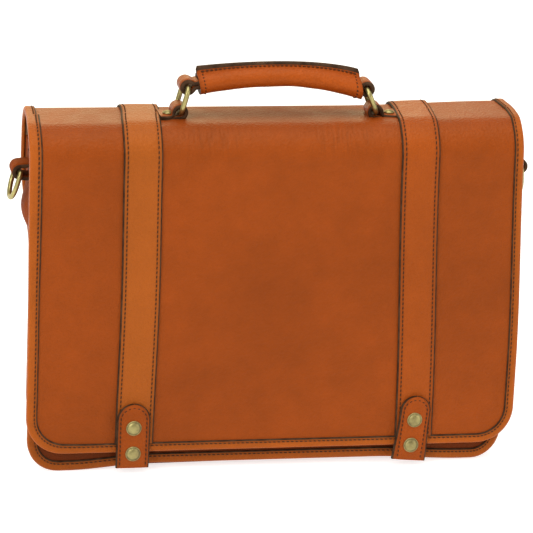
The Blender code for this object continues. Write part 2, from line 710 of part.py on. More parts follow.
def make_handle(materials):
    """The arched grip, and at each end the leather loop round the ring's upper bar."""
    centre_z, radius = handle_arc()
    centre = Vector((0, TOP_MIDDLE_Y, centre_z))
    joint = Vector((-HANDLE_BAR_X, TOP_MIDDLE_Y, HANDLE_BAR_Z))
    half_turn = math.asin((HANDLE_BAR_X - GRIP_START) / radius)
    mesh = bmesh.new()
    section = [mesh.verts.new((0, TOP_MIDDLE_Y + y, centre_z + radius + z)) for y, z in grip_section()]
    face = mesh.faces.new(section)
    bmesh.ops.rotate(
        mesh, cent=centre, matrix=Matrix.Rotation(-half_turn, 3, "Y"), verts=mesh.verts
    )
    bmesh.ops.spin(
        mesh,
        geom=[face, *face.edges, *face.verts],
        cent=centre,
        axis=(0, 1, 0),
        angle=2 * half_turn,
        steps=16,
        use_duplicate=False,
    )
    smooth(finished("handle_grip", mesh, materials["panel_leather"], joint), 50)

    layer = (CHAPE_LEATHER + CLEAR) / 2
    end = GRIP_START - CLEAR
    slope = math.asin(HANDLE_BAR_X / radius)
    for side, sign in SIDES.items():
        path = loop_path(LOOP_RADIUS, -layer, layer, end - GRIP_GAP / 3, end)
        outline = [(-sign * u, v) for u, v in ribbon(path, CHAPE_LEATHER)]
        mesh = prism(outline, -LOOP_WIDTH / 2, LOOP_WIDTH / 2)
        place = Matrix.Translation((sign * HANDLE_BAR_X, TOP_MIDDLE_Y, HANDLE_BAR_Z))
        turn = Matrix.Rotation(sign * slope, 4, "Y")
        bmesh.ops.transform(mesh, matrix=place @ turn, verts=mesh.verts)
        finished(f"{side}_handle_loop", mesh, materials["strap_leather"], joint)


def d_ring_path():
    """A D-ring's wire: a bar along Y and a half-round bow below it."""
    half = D_RING_INNER_WIDTH / 2 + D_RING_WIRE / 2
    bow_y = D_RING_REACH - half
    bow = [(y, -bow_y + z) for y, z in arc((0, 0), half, 180, 360, 12)] if bow_y > 0 else []
    if not bow:
        bow = [(y, z * D_RING_REACH / half) for y, z in arc((0, 0), half, 188, 352, 12)]
    turn = 0.003
    first = arc((half - turn, -turn), turn, 0, 90, 3)
    second = arc((-half + turn, -turn), turn, 90, 180, 3)
    return [*bow, *first, *second]


def make_side_rings(materials):
    """A chape on each side of the gusset, sewn down above and below, and the D-ring it holds."""
    middle_y = (FRONT_Y + BACK_Y) / 2
    radius = D_RING_WIRE / 2 + LOOP_CLEARANCE + CHAPE_LEATHER / 2
    low = -(D_RING_STANDOFF - CLEAR - CHAPE_LEATHER / 2)
    end, lift = SIDE_CHAPE_LENGTH / 2, SIDE_CHAPE_HUMP / 2
    above = math.degrees(tangent_angle((-lift, low), radius, -1)) + 360
    below = math.degrees(tangent_angle((lift, low), radius, 1))
    hump = arc((0, 0), radius, above, below, 10)
    path = [(-end, low), (-lift, low), *hump, (lift, low), (end, low)]
    strip = ribbon(path, CHAPE_LEATHER)
    for side, sign in SIDES.items():
        outline = [(sign * (D_RING_X + v), D_RING_HEIGHT - u) for u, v in strip]
        half = SIDE_CHAPE_WIDTH / 2
        mesh = prism(outline, middle_y - half, middle_y + half)
        finished(f"{side}_side_chape", mesh, materials["strap_leather"])
        wire_ring(
            f"{side}_d_ring",
            d_ring_path(),
            D_RING_WIRE,
            materials["antique_brass"],
            (sign * D_RING_X, middle_y, D_RING_HEIGHT),
            -sign * math.radians(D_RING_LEAN),
        )


def main():
    for obj in list(bpy.data.objects):
        bpy.data.objects.remove(obj)
    materials = make_materials()
    make_back_panel(materials)
    make_front_panel(materials)
    make_body_bindings(materials)
    make_gusset(materials)
    make_inside(materials)
    make_flap_top(materials)
    make_flap_front(materials)
    make_straps(materials)
    make_tabs(materials)
    make_handle_chapes(materials)
    make_rings(materials)
    make_handle(materials)
    make_side_rings(materials)


main()
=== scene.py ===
import json
import math

import bmesh
import bpy
from bpy.props import FloatProperty, FloatVectorProperty, PointerProperty
from mathutils import Matrix, Vector, noise
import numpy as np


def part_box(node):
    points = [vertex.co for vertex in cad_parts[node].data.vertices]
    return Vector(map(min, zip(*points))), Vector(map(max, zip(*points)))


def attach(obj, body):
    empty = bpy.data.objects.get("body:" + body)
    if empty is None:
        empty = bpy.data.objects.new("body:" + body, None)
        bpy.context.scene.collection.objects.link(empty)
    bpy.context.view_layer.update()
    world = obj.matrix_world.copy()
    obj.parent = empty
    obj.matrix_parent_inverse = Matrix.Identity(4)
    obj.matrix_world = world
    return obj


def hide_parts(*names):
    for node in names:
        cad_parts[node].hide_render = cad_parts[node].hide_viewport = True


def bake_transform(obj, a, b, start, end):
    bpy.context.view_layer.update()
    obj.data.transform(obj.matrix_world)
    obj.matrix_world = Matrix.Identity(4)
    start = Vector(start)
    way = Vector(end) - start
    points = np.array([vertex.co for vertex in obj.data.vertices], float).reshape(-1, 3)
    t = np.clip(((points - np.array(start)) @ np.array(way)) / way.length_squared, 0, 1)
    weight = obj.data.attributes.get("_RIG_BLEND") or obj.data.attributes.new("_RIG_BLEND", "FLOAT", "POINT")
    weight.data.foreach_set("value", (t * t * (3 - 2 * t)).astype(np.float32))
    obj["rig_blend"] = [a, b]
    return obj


bl_info = {
    "name": "Leather Briefcase",
    "version": (1, 0, 0),
    "blender": (4, 5, 0),
    "location": "3D View > Sidebar > Briefcase",
    "description": "Builds a flap-over leather briefcase round its packed frame",
    "category": "Object",
}

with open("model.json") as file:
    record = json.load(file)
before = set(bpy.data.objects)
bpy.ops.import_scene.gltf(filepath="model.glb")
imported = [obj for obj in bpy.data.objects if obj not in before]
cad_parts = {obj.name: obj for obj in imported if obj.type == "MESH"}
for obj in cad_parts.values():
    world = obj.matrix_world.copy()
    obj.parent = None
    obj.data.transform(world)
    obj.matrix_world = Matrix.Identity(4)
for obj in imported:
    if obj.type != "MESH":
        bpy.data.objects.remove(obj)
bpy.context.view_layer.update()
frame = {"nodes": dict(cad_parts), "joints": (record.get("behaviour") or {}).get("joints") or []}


def frame_box(node):
    """Lowest and highest corner of a frame node."""
    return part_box(node)


# ------------------------------------------------------------------ places read from the frame
FLAP_LOW = frame_box("flap_front_panel")[0]
EDGE_LOW, EDGE_HIGH = frame_box("flap_binding")
TOP_HIGH = frame_box("flap_top_panel")[1]
BACK_HIGH = frame_box("back_panel")[1]
CASE_EDGE_HIGH = frame_box("front_binding")[1]
FRONT_LOW, FRONT_HIGH = frame_box("front_panel")
GUSSET_LOW, GUSSET_HIGH = frame_box("gusset")
STRAP_LOW, STRAP_HIGH = frame_box("right_front_strap")
JOINTS = {joint["name"]: joint for joint in frame["joints"]}
SIDES = {"left": -1, "right": 1}

HALF_WIDTH = EDGE_HIGH.x
CASE_HALF_WIDTH = CASE_EDGE_HIGH.x
TOP_Z = TOP_HIGH.z
FLAP_FRONT_Y = FLAP_LOW.y
BACK_FACE_Y = BACK_HIGH.y
FRONT_FACE_Y = FRONT_LOW.y
FLAP_END_Z = EDGE_LOW.z
PANEL = FRONT_HIGH.y - FRONT_LOW.y
STRAP_X = (STRAP_LOW.x + STRAP_HIGH.x) / 2
STRAP_HALF = (STRAP_HIGH.x - STRAP_LOW.x) / 2
STRAP_THICK = 0.0020
AIR = 0.0003
FRONT_FOLD_RADIUS = 0.026
REAR_FOLD_RADIUS = 0.022
CORNER = 0.030
CASE_CORNER = 0.025
FRONT_FOLD_Y = FLAP_FRONT_Y + FRONT_FOLD_RADIUS
REAR_FOLD_Y = BACK_FACE_Y - REAR_FOLD_RADIUS
MIDDLE_Y = (FRONT_FOLD_Y + REAR_FOLD_Y) / 2
FLAT_RUN = MIDDLE_Y - FRONT_FOLD_Y
FRONT_TURN = FRONT_FOLD_RADIUS * math.pi / 2
REAR_TURN = REAR_FOLD_RADIUS * math.pi / 2
FRONT_END = FLAT_RUN + FRONT_TURN + TOP_Z - FRONT_FOLD_RADIUS - FLAP_END_Z
BACK_END = -(FLAT_RUN + REAR_TURN + TOP_Z - REAR_FOLD_RADIUS)


# ------------------------------------------------------------------ sizes and colours
def length(name, description, default):
    return FloatProperty(name=name, description=description, default=default, unit="LENGTH")


def colour(name, description, default):
    return FloatVectorProperty(
        name=name, description=description, default=default, subtype="COLOR", size=3, min=0, max=1
    )


class BriefcaseSizes(bpy.types.PropertyGroup):
    binding_width: length("Binding width", "Face of the folded edge binding", 0.0084)
    binding_thick: length("Binding thickness", "One layer of the binding", 0.0012)
    edge_paint_width: length("Edge paint width", "Painted bevel along a cut edge", 0.0011)
    stitch_pitch: length("Stitch pitch", "From one stitch to the next", 0.0037)
    thread_width: length("Thread width", "Width of the sewing thread", 0.00110)
    strap_stitch_inset: length("Strap stitch inset", "Stitch line from the strap's edge", 0.0033)
    pillow: length("Flap swell", "How far the flap's front swells out", 0.0016)
    gusset_swell: length("Gusset swell", "How far the sides swell out near the top", 0.0092)
    tab_width: length("Tab width", "Width of a closing tab", 0.0262)


class BriefcaseColours(bpy.types.PropertyGroup):
    flap: colour("Flap leather", "Main leather", (0.240, 0.0425, 0.0042))
    left_strap: colour("Left strap leather", "Lighter strap", (0.300, 0.070, 0.0085))
    right_strap: colour("Right strap leather", "Strap", (0.280, 0.053, 0.0055))
    binding: colour("Binding leather", "Folded edges", (0.300, 0.066, 0.0075))
    edge_paint: colour("Edge paint", "Painted cut edges", (0.040, 0.020, 0.010))
    thread: colour("Thread", "Sewing thread", (0.045, 0.016, 0.006))
    tab: colour("Tab leather", "Closing tabs", (0.262, 0.046, 0.0042))
    # Painted shade: the front panel under the flap gets a dark leather that stands in for the shadow the
    # flap casts there.
    recess_painted_shade: colour("Recess leather", "Front panel under the flap", (0.104, 0.0150, 0.0019))
    lining: colour("Lining", "Lining inside the case", (0.20, 0.105, 0.05))
    brass: colour("Brass", "Antique brass fittings", (0.47, 0.41, 0.16))


def sizes():
    return bpy.context.scene.briefcase_sizes


def colours():
    return bpy.context.scene.briefcase_colours


# ------------------------------------------------------------------ materials
class Wire:
    """A shader socket that can be added, multiplied and so on, which places Math nodes."""

    def __init__(self, nodes, socket):
        self.nodes = nodes
        self.socket = socket

    def _math(self, operation, first, second=0.0):
        return self.nodes.node("ShaderNodeMath", {"operation": operation}, {0: first, 1: second})

    def __add__(self, other):
        return self._math("ADD", self, other)

    __radd__ = __add__

    def __sub__(self, other):
        return self._math("SUBTRACT", self, other)

    def __rsub__(self, other):
        return self._math("SUBTRACT", other, self)

    def __mul__(self, other):
        return self._math("MULTIPLY", self, other)

    __rmul__ = __mul__

    def span(self, low, high, to_low=0.0, to_high=1.0):
        """The value carried from one span to another, and held at its ends."""
        return self.nodes.node(
            "ShaderNodeMapRange", {"clamp": True}, {0: self, 1: low, 2: high, 3: to_low, 4: to_high}
        )


class Finish:
    """A material under construction."""

    def __init__(self, name):
        self.material = bpy.data.materials.new(name)
        self.material.use_nodes = True
        self.tree = self.material.node_tree
        self.shader = self.tree.nodes["Principled BSDF"]

    def node(self, kind, settings=None, sockets=None, output=0):
        made = self.tree.nodes.new(kind)
        for key, value in (settings or {}).items():
            setattr(made, key, value)
        for key, value in (sockets or {}).items():
            self.feed(made.inputs[key], value)
        return Wire(self, made.outputs[output])

    def feed(self, socket, value):
        if isinstance(value, Wire):
            self.tree.links.new(value.socket, socket)
        elif socket.type == "RGBA" and len(value) == 3:
            socket.default_value = (*value, 1)
        else:
            socket.default_value = value

    def place(self, stretch=(1, 1, 1)):
        """Object coordinates, stretched."""
        at = self.node("ShaderNodeTexCoord", output="Object")
        return self.node("ShaderNodeMapping", {}, {"Vector": at, "Scale": stretch})

    def pattern(self, stretch=(1, 1, 1)):
        """The piece's own cutting pattern, in metres across and along."""
        at = self.node("ShaderNodeUVMap", {"uv_map": "pattern"})
        return self.node("ShaderNodeMapping", {}, {"Vector": at, "Scale": stretch})

    def noise(self, at, scale, detail=3.0, rough=0.5):
        return self.node(
            "ShaderNodeTexNoise", {}, {"Vector": at, "Scale": scale, "Detail": detail, "Roughness": rough}
        )

    def cells(self, at, scale):
        return self.node("ShaderNodeTexVoronoi", {"feature": "F1"}, {"Vector": at, "Scale": scale})

    def mix(self, share, first, second):
        ends = {0: share, 6: first, 7: second}
        return self.node("ShaderNodeMix", {"data_type": "RGBA", "blend_type": "MIX"}, ends, output=2)

    def attribute(self, name):
        return self.node("ShaderNodeAttribute", {"attribute_name": name}, output="Fac")

    def bump(self, height, depth, strength=1.0):
        return self.node(
            "ShaderNodeBump", {}, {"Height": height, "Distance": depth, "Strength": strength}
        )

    def set(self, **values):
        for key, value in values.items():
            self.feed(self.shader.inputs[key.replace("_", " ")], value)
        return self


def shade(tint, times):
    return tuple(min(1.0, part * times) for part in tint)


def leather(name, tint, patchy=0.14, gloss=0.37, sheen=0.20):
    """Oiled full-grain leather: soft clouds of colour, fine pebbled grain, darker rims, painted shade in its
    wrinkles and, through the rim attribute, painted shade under the handle.
    """
    made = Finish(name)
    at = made.place()
    clouds = made.noise(at, 9.0, 4.0, 0.55)
    mottle = made.noise(at, 55.0, 5.0, 0.6)
    pores = made.cells(at, 950.0)
    grain = made.noise(at, 1500.0, 3.0, 0.6)
    creases = made.noise(made.place((1.0, 1.0, 0.25)), 120.0, 6.0, 0.62)
    deep, pale = shade(tint, 1 - patchy * 1.5), shade(tint, 1 + patchy)
    tone = clouds.span(0.32, 0.70) * 0.65 + mottle.span(0.3, 0.7) * 0.35
    body = made.mix(tone, deep, pale)
    pebbles = made.cells(at, 400.0)
    freckle = pores.span(0.0, 0.55, 0.16, 0.0)
    body = made.mix(freckle, body, shade(tint, 0.35))
    # The rim attribute darkens rims, painted edges and stitch grooves; on the hide it carries the painted
    # shade under the handle.
    rim = made.attribute("rim")
    body = made.mix(rim.span(0.0, 1.0, 0.0, 0.55), body, shade(tint, 0.42))
    worn = made.attribute("worn")
    body = made.mix(worn.span(0.0, 1.0, 0.0, 0.5), body, shade(tint, 1.75))
    # Fine wrinkles run along the pattern where the hide is bent, and painted shade darkens them.
    wrinkles = made.noise(made.pattern((1.0, 0.13, 1.0)), 400.0, 2.0, 0.5)
    bent = made.attribute("crease")
    body = made.mix(wrinkles.span(0.45, 0.62) * bent * 0.45, body, shade(tint, 0.62))
    height = pores.span(0.0, 0.6) * 0.5 + grain * 0.4 + creases * 1.1 + mottle * 0.8 + pebbles * 1.2
    height = height - wrinkles * bent * 3.0
    made.set(
        Base_Color=body,
        Roughness=(mottle.span(0.2, 0.8, gloss - 0.07, gloss + 0.10) + rim * 0.20),
        Normal=made.bump(height, 0.00036, 0.9),
    )
    made.set(Specular_IOR_Level=sheen, Specular_Tint=(1.0, 0.66, 0.34))
    return made.material


def edge_paint(name, tint):
    """Burnished and painted cut edges."""
    made = Finish(name)
    at = made.place()
    dabs = made.noise(at, 160.0, 4.0)
    made.set(
        Base_Color=made.mix(dabs.span(0.35, 0.75), shade(tint, 0.7), shade(tint, 1.9)),
        Roughness=dabs.span(0.2, 0.8, 0.45, 0.62),
        Normal=made.bump(made.noise(at, 700.0, 3.0), 0.00012),
        Specular_IOR_Level=0.06,
    )
    return made.material


def thread_finish(name, tint):
    """Twisted, waxed thread."""
    made = Finish(name)
    at = made.place()
    twist = made.noise(at, 2600.0, 2.0)
    made.set(
        Base_Color=made.mix(twist, shade(tint, 0.55), shade(tint, 1.7)),
        Roughness=twist.span(0.2, 0.8, 0.5, 0.75),
        Normal=made.bump(twist, 0.0001),
        Specular_IOR_Level=0.12,
    )
    return made.material


def brass_finish(name, tint):
    """Antique brass: a dark patina in the hollows, rubbed bright on the high spots."""
    made = Finish(name)
    at = made.place()
    stain = made.noise(at, 140.0, 5.0, 0.6)
    scratch = made.noise(made.place((1.0, 1.0, 7.0)), 420.0, 4.0)
    rim = made.attribute("rim")
    patina = stain.span(0.35, 0.75, 0.0, 0.55) + rim * 0.75
    body = made.mix(patina.span(0.0, 1.0), tint, (0.105, 0.078, 0.034))
    made.set(
        Base_Color=body,
        Metallic=patina.span(0.0, 1.3, 1.0, 0.75),
        Roughness=scratch.span(0.2, 0.8, 0.24, 0.40) + rim * 0.15,
        Normal=made.bump(scratch, 0.00006),
    )
    return made.material


def woven(name, tint, scale=900.0):
    """Plain-woven lining."""
    made = Finish(name)
    at = made.pattern()
    weft, warp = (
        made.node(
            "ShaderNodeTexWave",
            {"wave_type": "BANDS", "bands_direction": direction},
            {"Vector": at, "Scale": scale, "Distortion": 0.4},
            output="Fac",
        )
        for direction in "XY"
    )
    tone = made.noise(at, 60.0, 4.0)
    made.set(
        Base_Color=made.mix(weft * warp, shade(tint, 0.65), shade(tint, 1.35)),
        Roughness=tone.span(0.2, 0.8, 0.75, 0.95),
        Normal=made.bump(weft * warp, 0.00015),
        Sheen_Weight=0.25,
    )
    return made.material


def suede_back(name, tint):
    """The unlined flesh side of the leather."""
    made = Finish(name)
    at = made.place()
    nap = made.noise(at, 420.0, 6.0, 0.7)
    made.set(
        Base_Color=made.mix(nap.span(0.3, 0.7), shade(tint, 0.7), shade(tint, 1.2)),
        Roughness=nap.span(0.2, 0.8, 0.8, 0.95),
        Normal=made.bump(nap, 0.0002),
        Sheen_Weight=0.2,
    )
    return made.material


FINISHES = {}


def finishes(*names):
    """The materials of those names, made on first use."""
    tint = colours()
    makers = {
        "flap_leather": lambda n: leather(n, tint.flap),
        "left_strap_leather": lambda n: leather(n, tint.left_strap, 0.10, 0.38),
        "right_strap_leather": lambda n: leather(n, tint.right_strap, 0.12, 0.36),
        "binding_leather": lambda n: leather(n, tint.binding, 0.16, 0.40),
        # Painted shade: the binding leather darkened for the case's binding, which lies in the shade under
        # the flap.
        "case_binding_leather": lambda n: leather(n, shade(tint.binding, 0.85), 0.16, 0.40),
        "gusset_leather": lambda n: leather(n, shade(tint.flap, 0.95), 0.14, 0.55, 0.03),
        # Painted light: the flap leather made lighter for the grip, which stands in the light above the
        # case.
        "grip_leather": lambda n: leather(n, shade(tint.flap, 1.25), 0.12, 0.36),
        "tab_leather": lambda n: leather(n, tint.tab, 0.14, 0.38),
        # Painted shade: the dark leather of the front panel under the flap.
        "recess_leather": lambda n: leather(n, tint.recess_painted_shade, 0.14, 0.45),
        "edge_paint": lambda n: edge_paint(n, tint.edge_paint),
        "thread": lambda n: thread_finish(n, tint.thread),
        "lining": lambda n: woven(n, tint.lining),
        "zip_cloth": lambda n: woven(n, shade(tint.lining, 0.45), 1500.0),
        "steel": lambda n: brass_finish(n, (0.55, 0.54, 0.52)),
        "brass": lambda n: brass_finish(n, tint.brass),
        "flesh_side": lambda n: suede_back(n, shade(tint.lining, 1.3)),
    }
    for name in names:
        if name not in FINISHES:
            FINISHES[name] = makers[name](name)
    return [FINISHES[name] for name in names]


# ------------------------------------------------------------------ cutting, bending and sewing
# A leather piece's materials: the leather first, then these.
PAINT_SLOT, THREAD_SLOT, LINING_SLOT = 1, 2, 3


def ease(low, high, value):
    """0 below low, 1 above high and a smooth ramp between."""
    share = min(1.0, max(0.0, (value - low) / (high - low)))
    return share * share * (3 - 2 * share)


class Route:
    """A line through points on a plane, walked by its length."""

    def __init__(self, points, closed=False):
        self.points = [Vector(p) for p in points]
        self.closed = closed
        if closed:
            self.points.append(self.points[0].copy())
        self.marks = [0.0]
        for here, there in zip(self.points, self.points[1:]):
            self.marks.append(self.marks[-1] + (there - here).length)
        self.long = self.marks[-1]
        self.seen = 0

    def at(self, t):
        """The point at t, and the direction there, smoothed over its corners."""
        t = min(self.long, max(0.0, t))
        while self.seen > 0 and self.marks[self.seen] > t:
            self.seen -= 1
        while self.seen < len(self.points) - 2 and self.marks[self.seen + 1] < t:
            self.seen += 1
        i = self.seen
        span = self.marks[i + 1] - self.marks[i]
        share = (t - self.marks[i]) / span if span else 0.0
        along = self.points[i + 1] - self.points[i]
        before = self.direction(i)
        after = self.direction(i + 1)
        heading = before.lerp(after, share).normalized()
        return self.points[i] + along * share, heading

    def direction(self, i):
        """The mean direction at a corner."""
        last = len(self.points) - 1
        if self.closed and i in (0, last):
            first = self.points[1] - self.points[0]
            final = self.points[last] - self.points[last - 1]
            return (first.normalized() + final.normalized()).normalized()
        before = self.points[i] - self.points[i - 1] if i > 0 else self.points[1] - self.points[0]
        after = self.points[i + 1] - self.points[i] if i < last else before
        return (before.normalized() + after.normalized()).normalized()


def arc(centre, radius, start, stop, steps):
    """Points on an arc, with its angles in degrees."""
    turn = [math.radians(start + (stop - start) * i / steps) for i in range(steps + 1)]
    return [(centre[0] + radius * math.cos(a), centre[1] + radius * math.sin(a)) for a in turn]


def strip(section, start, long, steps, capped=True):
    """A straight strip cut with a section in X and Z, running along Y."""
    mesh = bmesh.new()
    verts = [mesh.verts.new((w, start, n)) for w, n in section]
    edges = [mesh.edges.new(pair) for pair in zip(verts, verts[1:] + verts[:1])]
    made = bmesh.ops.extrude_edge_only(mesh, edges=edges)["geom"]
    far = [part for part in made if isinstance(part, bmesh.types.BMVert)]
    far_edges = [part for part in made if isinstance(part, bmesh.types.BMEdge)]
    bmesh.ops.translate(mesh, vec=(0, long, 0), verts=far)
    if capped:
        bmesh.ops.edgeloop_fill(mesh, edges=edges)
        bmesh.ops.edgeloop_fill(mesh, edges=far_edges)
    ends = set(edges) | set(far_edges)
    along = [edge for edge in mesh.edges if edge not in ends]
    bmesh.ops.subdivide_edges(mesh, edges=along, cuts=steps - 1, use_grid_fill=True)
    bmesh.ops.recalc_face_normals(mesh, faces=mesh.faces)
    return mesh


def lay_out(mesh, rim=None, worn=None, paint=None, lining=None, crease=None):
    """Marks a flat piece before it is bent: its pattern, its rims, its painted edges."""
    uv = mesh.loops.layers.uv.new("pattern")
    rims = mesh.verts.layers.float.new("rim")
    worns = mesh.verts.layers.float.new("worn")
    creased = mesh.verts.layers.float.new("crease")
    for vert in mesh.verts:
        vert[rims] = rim(*vert.co) if rim else 0.0
        vert[worns] = worn(*vert.co) if worn else 0.0
        vert[creased] = crease(*vert.co) if crease else 0.0
    for face in mesh.faces:
        for loop in face.loops:
            loop[uv].uv = loop.vert.co.xy
        middle = face.calc_center_median()
        if paint and paint(*middle):
            face.material_index = PAINT_SLOT
        elif lining and lining(*middle):
            face.material_index = LINING_SLOT
    return mesh


def stitches(rows, pitch=None, thick=None):
    """Sewing: short raised threads along rows of (w, t, n) points on the flat pattern."""
    pitch = pitch or sizes().stitch_pitch
    thick = thick or sizes().thread_width
    mesh = bmesh.new()
    for row in rows:
        line = Route(row)
        count = max(1, int(line.long / pitch))
        step = line.long / count
        thread = bmesh.new()
        place = (
            Matrix.Translation((0, step / 2, 0))
            @ Matrix.Rotation(0.10, 4, "Z")
            @ Matrix.Diagonal((thick, step * 0.80, thick * 0.75, 1))
        )
        bmesh.ops.create_uvsphere(thread, u_segments=6, v_segments=5, radius=0.5, matrix=place)
        bmesh.ops.spin(
            thread,
            geom=thread.faces[:],
            cent=(0, 0, 0),
            axis=(0, 0, 1),
            dvec=(0, step, 0),
            angle=0,
            steps=count - 1,
            use_duplicate=True,
        )
        for vert in thread.verts:
            spot, heading = line.at(vert.co.y)
            across = Vector((heading.y, -heading.x, 0))
            vert.co = spot + across * vert.co.x + Vector((0, 0, vert.co.z))
        add(mesh, thread)
    for face in mesh.faces:
        face.material_index = THREAD_SLOT
    return mesh


def add(mesh, other):
    """Joins another bmesh, which is used up."""
    data = bpy.data.meshes.new("joining")
    other.to_mesh(data)
    other.free()
    mesh.from_mesh(data)
    bpy.data.meshes.remove(data)
    return mesh


def shape(mesh, bend):
    """Carries every point of a flat piece to its place on the case."""
    for vert in mesh.verts:
        vert.co = bend(*vert.co)
    return mesh


def piece(name, mesh, materials, ride=None, blend=None, replaces=(), slot=None, sharp=50):
    """A finished piece: smooth shading, materials, its body and the frame nodes it stands for."""
    if mesh.calc_volume(signed=True) < 0:
        bmesh.ops.reverse_faces(mesh, faces=mesh.faces)
    data = bpy.data.meshes.new(name)
    mesh.to_mesh(data)
    mesh.free()
    for material in materials:
        data.materials.append(material)
    data.shade_smooth()
    data.set_sharp_from_angle(angle=math.radians(sharp))
    obj = bpy.data.objects.new(name, data)
    bpy.context.scene.collection.objects.link(obj)
    if blend:
        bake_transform(obj, *blend)
    else:
        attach(obj, ride)
    if replaces:
        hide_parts(*replaces)
    return obj


def rear_blend():
    """Bends across the rear fold: with the case below it, with the flap's top above it."""
    fold = Vector((0, REAR_FOLD_Y, TOP_Z - REAR_FOLD_RADIUS))
    out = fold + Vector((0, REAR_FOLD_RADIUS, -0.002))
    over = fold + Vector((0, -0.002, REAR_FOLD_RADIUS))
    return "case", "flap_top", out, over


def front_blend():
    """Bends across the front fold: with the flap's top behind it, with the front below it."""
    fold = Vector((0, FRONT_FOLD_Y, TOP_Z - FRONT_FOLD_RADIUS))
    over = fold + Vector((0, 0.002, FRONT_FOLD_RADIUS))
    down = fold + Vector((0, -FRONT_FOLD_RADIUS, -0.002))
    return "flap_top", "flap_front", over, down


# ------------------------------------------------------------------ the shape of the hide
# How far the soft case moves off its straight pattern.
FOLD_LEAN = 0.0034
TOP_LIFT, RIGHT_LIFT = 0.0006, 0.0030
BACK_DRAW_IN = 0.0085
CRINKLE = 0.0011


def profile(s):
    """Point and outward normal of the hide, by the distance s from the middle of its top.

    s grows over the front fold and down the front, and falls over the rear fold and down the back.
    """
    side, run = (-1, s) if s >= 0 else (1, -s)
    fold_y = FRONT_FOLD_Y if s >= 0 else REAR_FOLD_Y
    radius = FRONT_FOLD_RADIUS if s >= 0 else REAR_FOLD_RADIUS
    turn = radius * math.pi / 2
    if run <= FLAT_RUN:
        return MIDDLE_Y + side * run, TOP_Z, 0.0, 1.0
    if run <= FLAT_RUN + turn:
        angle = (run - FLAT_RUN) / radius
        sin, cos = math.sin(angle), math.cos(angle)
        return fold_y + side * radius * sin, TOP_Z - radius + radius * cos, side * sin, cos
    return fold_y + side * radius, TOP_Z - radius - (run - FLAT_RUN - turn), float(side), 0.0


def swell(x, s):
    """How far the soft hide stands off its plain profile."""
    if s < 0:
        down = ease(-FLAT_RUN - REAR_TURN, BACK_END * 0.55, s) if s < -FLAT_RUN else 0
        return 0.0012 * down * math.cos(x / HALF_WIDTH * math.pi / 2) * ease(BACK_END, BACK_END + 0.05, s)
    fold = FLAT_RUN + FRONT_TURN
    across = math.cos(min(1.0, abs(x) / HALF_WIDTH) * math.pi / 2)
    low = (s - fold) / (FRONT_END - fold)
    out = 0.0
    if low > 0:
        out += sizes().pillow * math.sin(min(1.0, low) * math.pi) * across
    slack = noise.noise(Vector((x * 9, s * 7, 1.3))) * CRINKLE
    out += slack * ease(0, 0.05, s) * (0.35 + 0.65 * across)
    # Fine creases that run down from the front fold, where the hide is gathered.
    for centre, wide in ((-0.052, 0.030), (0.056, 0.018), (0.0, 0.14)):
        near = math.exp(-(((x - centre) / wide) ** 2))
        reach = math.exp(-(((s - fold - 0.008) / 0.022) ** 2))
        ripple = noise.noise(Vector((x * 210, s * 16, centre * 50)))
        strength = 0.00042 if wide < 0.1 else 0.00016
        out += strength * near * reach * ripple
    return out


def crest(s):
    """1 on the highest line of the hide, and nothing away from it."""
    return math.exp(-(((s + 0.026) / 0.034) ** 2))


def left_edge(s):
    """The flap's left edge at s."""
    return -flap_half(s) - lean(s) * 0.55 + 0.0004 * crest(s)


def right_edge(s):
    """The flap's right edge at s, which leans in further than the left one leans out."""
    return flap_half(s) - 1.5 * lean(s) - 0.0018 * crest(s)


def lean(s):
    """How far the flap leans to the left, most of all at its front fold."""
    fold = FLAT_RUN + FRONT_TURN * 0.5
    return FOLD_LEAN * (1 - ease(fold, fold + 0.19, s)) * ease(-0.012, fold, s)


def lift(x, s):
    """The hide is propped up a little on its right, over its top."""
    fold = FLAT_RUN + FRONT_TURN
    over = 1 - ease(fold - 0.012, fold + 0.030, s) if s > 0 else ease(-fold - 0.050, -fold + 0.005, s)
    return over * (TOP_LIFT + RIGHT_LIFT * ease(0.06, 0.19, x))


def draw_in(x, height):
    """How far the soft case's sides are drawn in at its back, below the shoulder."""
    return math.copysign(BACK_DRAW_IN, x) * ease(0.130, 0.190, abs(x)) * (1 - ease(0.145, 0.235, height))


def flap_half(s):
    """Half the hide's width: the flap is a little wider than the back that it grows out of."""
    narrow = 1 - ease(-FLAT_RUN - REAR_TURN, FLAT_RUN + FRONT_TURN * 0.4, s)
    return HALF_WIDTH - narrow * (HALF_WIDTH - CASE_HALF_WIDTH)


def over_hide(x, s, n):
    """A point at x across, s along and n above the hide."""
    y, z, out_y, out_z = profile(s)
    n = n + swell(x, s)
    if s < 0:
        x -= draw_in(x, TOP_Z - REAR_FOLD_RADIUS if s > -FLAT_RUN - REAR_TURN else z)
    return Vector((x, y + out_y * n, z + out_z * n + lift(x, s)))


def on_flap(x, s, n):
    """The same, with x spread between the flap's own left and right edges."""
    share = (x / HALF_WIDTH + 1) / 2
    low, high = left_edge(s), right_edge(s)
    return over_hide(low + (high - low) * share, s, n)


def corner_half(end, s):
    """Half width of a panel whose two lower corners are round, at s near its end."""
    short = CORNER - min(CORNER, abs(end - s))
    return HALF_WIDTH - CORNER + math.sqrt(max(0.0, CORNER**2 - short**2))


def sheet_section(half, thick, columns, inset=0.0):
    """The wide thin section of a panel, with enough columns to bend."""
    span = half - inset
    across = [span * (2 * i / columns - 1) for i in range(columns + 1)]
    return [(x, 0.0) for x in across] + [(x, -thick) for x in reversed(across)]


def painted_shade_under_handle(x, s, n):
    """Painted shade under the handle: the hide's colour is darkened where the handle's shadow falls, and its
    roughness is raised.
    """
    return 0.75 * math.exp(-((x / 0.080) ** 2) - ((s + 0.004) / 0.034) ** 2)


